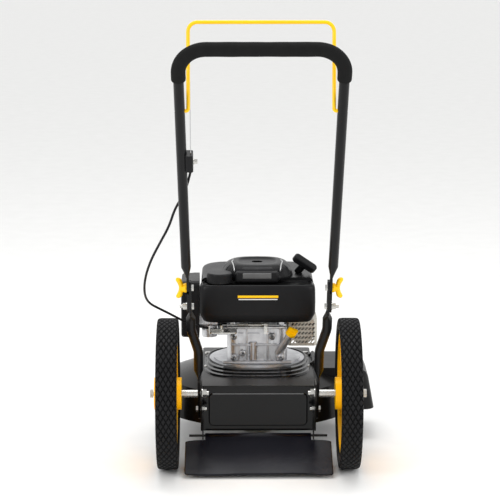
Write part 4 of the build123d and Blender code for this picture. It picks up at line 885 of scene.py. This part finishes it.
# ---------------------------------------------------------------- engine trim
@dataclass
class EngineTrim:
    """Blank plates, ribs and other trim of the engine. Lengths in millimetres."""

    housing_top: float = 408.0
    cover_top: float = 441.0
    tank_rear: float = 166.0

    def blank_plates(self) -> None:
        """A bare coloured strip and a white line on the tank, and a bare plate on the top cover."""
        strip = rounded_block("tank_blank_strip", (-48.0, 164.6, 371.5), (50.0, 166.4, 377.5), 0.5)
        dress(strip, YELLOW, "chassis")
        line = rounded_block("tank_blank_line", (-46.0, 164.8, 366.5), (48.0, 166.4, 369.0), 0.4)
        dress(line, BLANK_WHITE, "chassis")
        LOG.info("built the blank plates")

    def tank(self) -> None:
        """Tank with well rounded corners and a tapered foot, in place of its plain solid.

        Each level is a superellipse across X and Y. A table gives how far every level is drawn
        in, and the rings between the levels follow it linearly.
        """
        level = np.array([309.0, 310.5, 314.0, 320.0, 326.0, 330.0, 360.0, 388.0, 395.0, 399.5, 401.6, 402.0])
        drawn = np.array([15.0, 12.0, 8.5, 5.5, 2.0, 0.4, 0.0, 0.6, 1.8, 4.0, 7.0, 9.0])
        turn = np.linspace(0.0, 2 * math.pi, 200, endpoint=False)
        u, v = np.meshgrid(np.arange(len(level)), turn, indexing="ij")
        inset = drawn[u]
        power = 2.0 / 5.5
        x = np.sign(np.cos(v)) * np.abs(np.cos(v)) ** power * (141.0 - inset)
        y = 201.0 + np.sign(np.sin(v)) * np.abs(np.sin(v)) ** power * (35.0 - inset * 0.6)
        tank = surface("rounded_tank", np.stack([x, y, level[u]], axis=-1) * MM)
        dress(tank, BLACK_PLASTIC, "chassis")
        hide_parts("fuel_tank")
        LOG.info("built %s", tank.name)

    def top_cover(self) -> None:
        """Domed starter cover with rounded flanks and radial ribs, in place of its plain solid.

        Each level is a superellipse across X and Y, drawn in as the table says. Sixteen ribs rise
        over the flanks as a power of a cosine round the cover.
        """
        level = np.array([408.1, 409.0, 416.0, 424.0, 431.0, 436.5, 439.5, 440.7, 441.0, 441.0, 438.5, 438.5])
        drawn = np.array([0.0, -1.0, 2.0, 5.5, 10.0, 16.0, 22.0, 28.0, 34.0, 40.0, 43.0, 74.0])
        turn = np.linspace(0.0, 2 * math.pi, 320, endpoint=False)
        u, v = np.meshgrid(np.arange(len(level)), turn, indexing="ij")
        flank = np.exp(-(((level[u] - 429.0) / 9.0) ** 2)) * (u < 9)
        rib = np.clip(np.cos(v * 16.0), 0.0, None) ** 6 * flank * 2.2
        reach = 87.0 - drawn[u] + rib
        power = 2.0 / 2.7
        x = np.sign(np.cos(v)) * np.abs(np.cos(v)) ** power * reach
        y = 284.0 + np.sign(np.sin(v)) * np.abs(np.sin(v)) ** power * (reach - 2.0)
        cover = surface("domed_top_cover", np.stack([x, y, level[u]], axis=-1) * MM)
        dress(cover, BLACK_PLASTIC, "chassis")
        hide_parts("recoil_cover")
        turn = np.linspace(-0.9, 0.9, 40)
        for sign in (-1, 1):
            line = np.stack(
                [sign * (62.0 - 7.0 * np.abs(turn)), 268.0 - turn * 62.0, 441.4 - 17.0 * np.abs(turn) ** 3],
                axis=-1,
            )
            trim = surface(
                f"cover_trim_{'left' if sign < 0 else 'right'}", tube_grid(line * MM, 1.4 * MM, 12, (1.0, 0.0, 0.0))
            )
            dress(trim, BLANK_SILVER, "chassis")
        plate_frame = rounded_block("cover_plate_frame", (-54.0, 192.0, 402.0), (52.0, 226.0, 430.0), 7.0, 4)
        dress(plate_frame, BLACK_PLASTIC, "chassis")
        plate = rounded_block("cover_blank_plate", (-36.0, 190.8, 413.0), (34.0, 196.0, 427.0), 2.0)
        dress(plate, GREY_PLATE, "chassis")
        LOG.info("built %s", cover.name)

    def casting_details(self) -> None:
        """Ribs, flange and bosses of the crank case, and the chromed governor spring.

        The spring's middle line is a helix: it runs evenly along X while it turns at a constant
        radius, and its ends draw in to the rod.
        """
        blocks = {
            "case_flange": ((-84.0, 214.0, 195.4), (84.0, 232.0, 202.0), 2.0),
            "case_waist_rib": ((-66.0, 217.5, 240.0), (66.0, 227.0, 244.5), 1.5),
            "case_rib_a": ((-47.0, 219.0, 200.0), (-43.5, 227.0, 242.0), 1.0),
            "case_rib_b": ((-27.0, 219.0, 200.0), (-23.5, 227.0, 286.0), 1.0),
            "case_rib_c": ((24.0, 219.0, 200.0), (27.5, 227.0, 286.0), 1.0),
            "case_rib_d": ((44.0, 219.0, 200.0), (47.5, 227.0, 242.0), 1.0),
            "case_top_rim": ((-72.0, 217.0, 283.0), (72.0, 228.0, 289.0), 1.5),
        }
        for name, (low, high, radius) in blocks.items():
            dress(rounded_block(name, low, high, radius), ALLOY, "chassis")
        turn = np.linspace(0.0, 2 * math.pi, 32, endpoint=False)
        depth = np.array([226.0, 213.0, 212.0, 212.0, 208.0, 207.4])
        reach = np.array([8.0, 8.0, 7.4, 5.2, 5.2, 3.0])
        for index, (x, z) in enumerate(((-58.0, 212.0), (58.0, 212.0), (-58.0, 264.0), (36.0, 264.0), (-36.0, 222.0))):
            u, v = np.meshgrid(depth, turn, indexing="ij")
            r = np.broadcast_to(reach[:, None], u.shape)
            boss = surface(f"case_boss_{index}", np.stack([x + r * np.cos(v), u, z + r * np.sin(v)], axis=-1) * MM)
            dress(boss, ALLOY, "chassis")
        t = np.linspace(0.0, 1.0, 900)
        coil = np.clip(np.minimum(t, 1.0 - t) / 0.04, 0.0, 1.0) * 4.6
        phase = t * 2 * math.pi * 24.0
        helix = np.stack([-48.0 + t * 78.0, 196.0 + coil * np.cos(phase), 299.0 + coil * np.sin(phase)], axis=-1)
        spring = surface("governor_spring", tube_grid(helix * MM, 0.75 * MM, 8, (0.31, 0.41, 0.86)))
        dress(spring, ZINC, "chassis")
        LOG.info("built the casting's details")

    def platform(self) -> None:
        """Stepped pressing of the frame's top round the engine's seat.

        Each ring is a superellipse that shrinks and rises in three rounded steps from the frame's
        edge to the seat.
        """
        share = np.linspace(0.0, 1.0, 46)
        rise = 12.0 * (np.floor(share * 3.0) + np.clip((share * 3.0 % 1.0) / 0.35, 0.0, 1.0)) / 4.0
        rise = np.where(share >= 1.0, 9.0, rise)
        turn = np.linspace(0.0, 2 * math.pi, 220, endpoint=False)
        u, v = np.meshgrid(share, turn, indexing="ij")
        power = 2.0 / (3.6 - 1.2 * u)
        half_x = 131.0 - 9.0 * u
        half_y = 150.0 - 29.0 * u
        x = np.sign(np.cos(v)) * np.abs(np.cos(v)) ** power * half_x
        y = 310.0 - 30.0 * (1.0 - u) + np.sign(np.sin(v)) * np.abs(np.sin(v)) ** power * half_y
        z = 181.4 + np.broadcast_to(rise[:, None], u.shape)
        top = np.stack([x, y, z], axis=-1)
        inner = top[-1:] - np.array([0.0, 0.0, 9.0])
        outer = top[:1] - np.array([0.0, 0.0, 0.35])
        pressing = surface("stepped_platform", np.concatenate([top, inner, outer]) * MM, ring=True, loop=True)
        dress(pressing, GLOSS_BLACK, "chassis")
        LOG.info("built %s", pressing.name)

    def build(self) -> None:
        """Makes all of the trim."""
        self.blank_plates()
        self.tank()
        self.top_cover()
        self.casting_details()
        self.platform()


# ---------------------------------------------------------------- everything
@dataclass
class Mower:
    """The mower's CAD nodes with their finishes, and the pieces that replace or trim them."""

    nodes: dict[str, bpy.types.Object] = field(default_factory=dict)

    def dress_nodes(self) -> None:
        """Puts each CAD node's finish in its own slots, by the name of the slot's material."""
        for name, node in sorted(self.nodes.items()):
            for slot in node.material_slots:
                key = slot.material.name.split(".")[0]
                slot.material = SLOT_FINISH[key].material()
            LOG.info("dressed %s", name)

    def build(self) -> None:
        """Makes every piece."""
        self.dress_nodes()
        Cable().build()
        for side, sign in (("left", -1), ("right", 1)):
            Wheel(side, sign).build()
            WingKnob(side, sign).build()
        HandleGrip().build()
        TrailingFlap().build()
        EngineTrim().build()


def corners(box: Any) -> list[list[float]]:
    """The two corners of a box as plain lists."""
    return [[float(n) for n in corner] for corner in box]


def main() -> None:
    """Builds the studio and the mower round the frame."""
    logging.basicConfig(level=logging.INFO, format="%(name)s: %(message)s")
    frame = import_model()
    studio = Studio()
    studio.set_camera()
    studio.lay_floor()
    studio.set_lights()
    Mower(frame["nodes"]).build()
    bpy.context.view_layer.update()


if __name__ == "__main__":
    main()
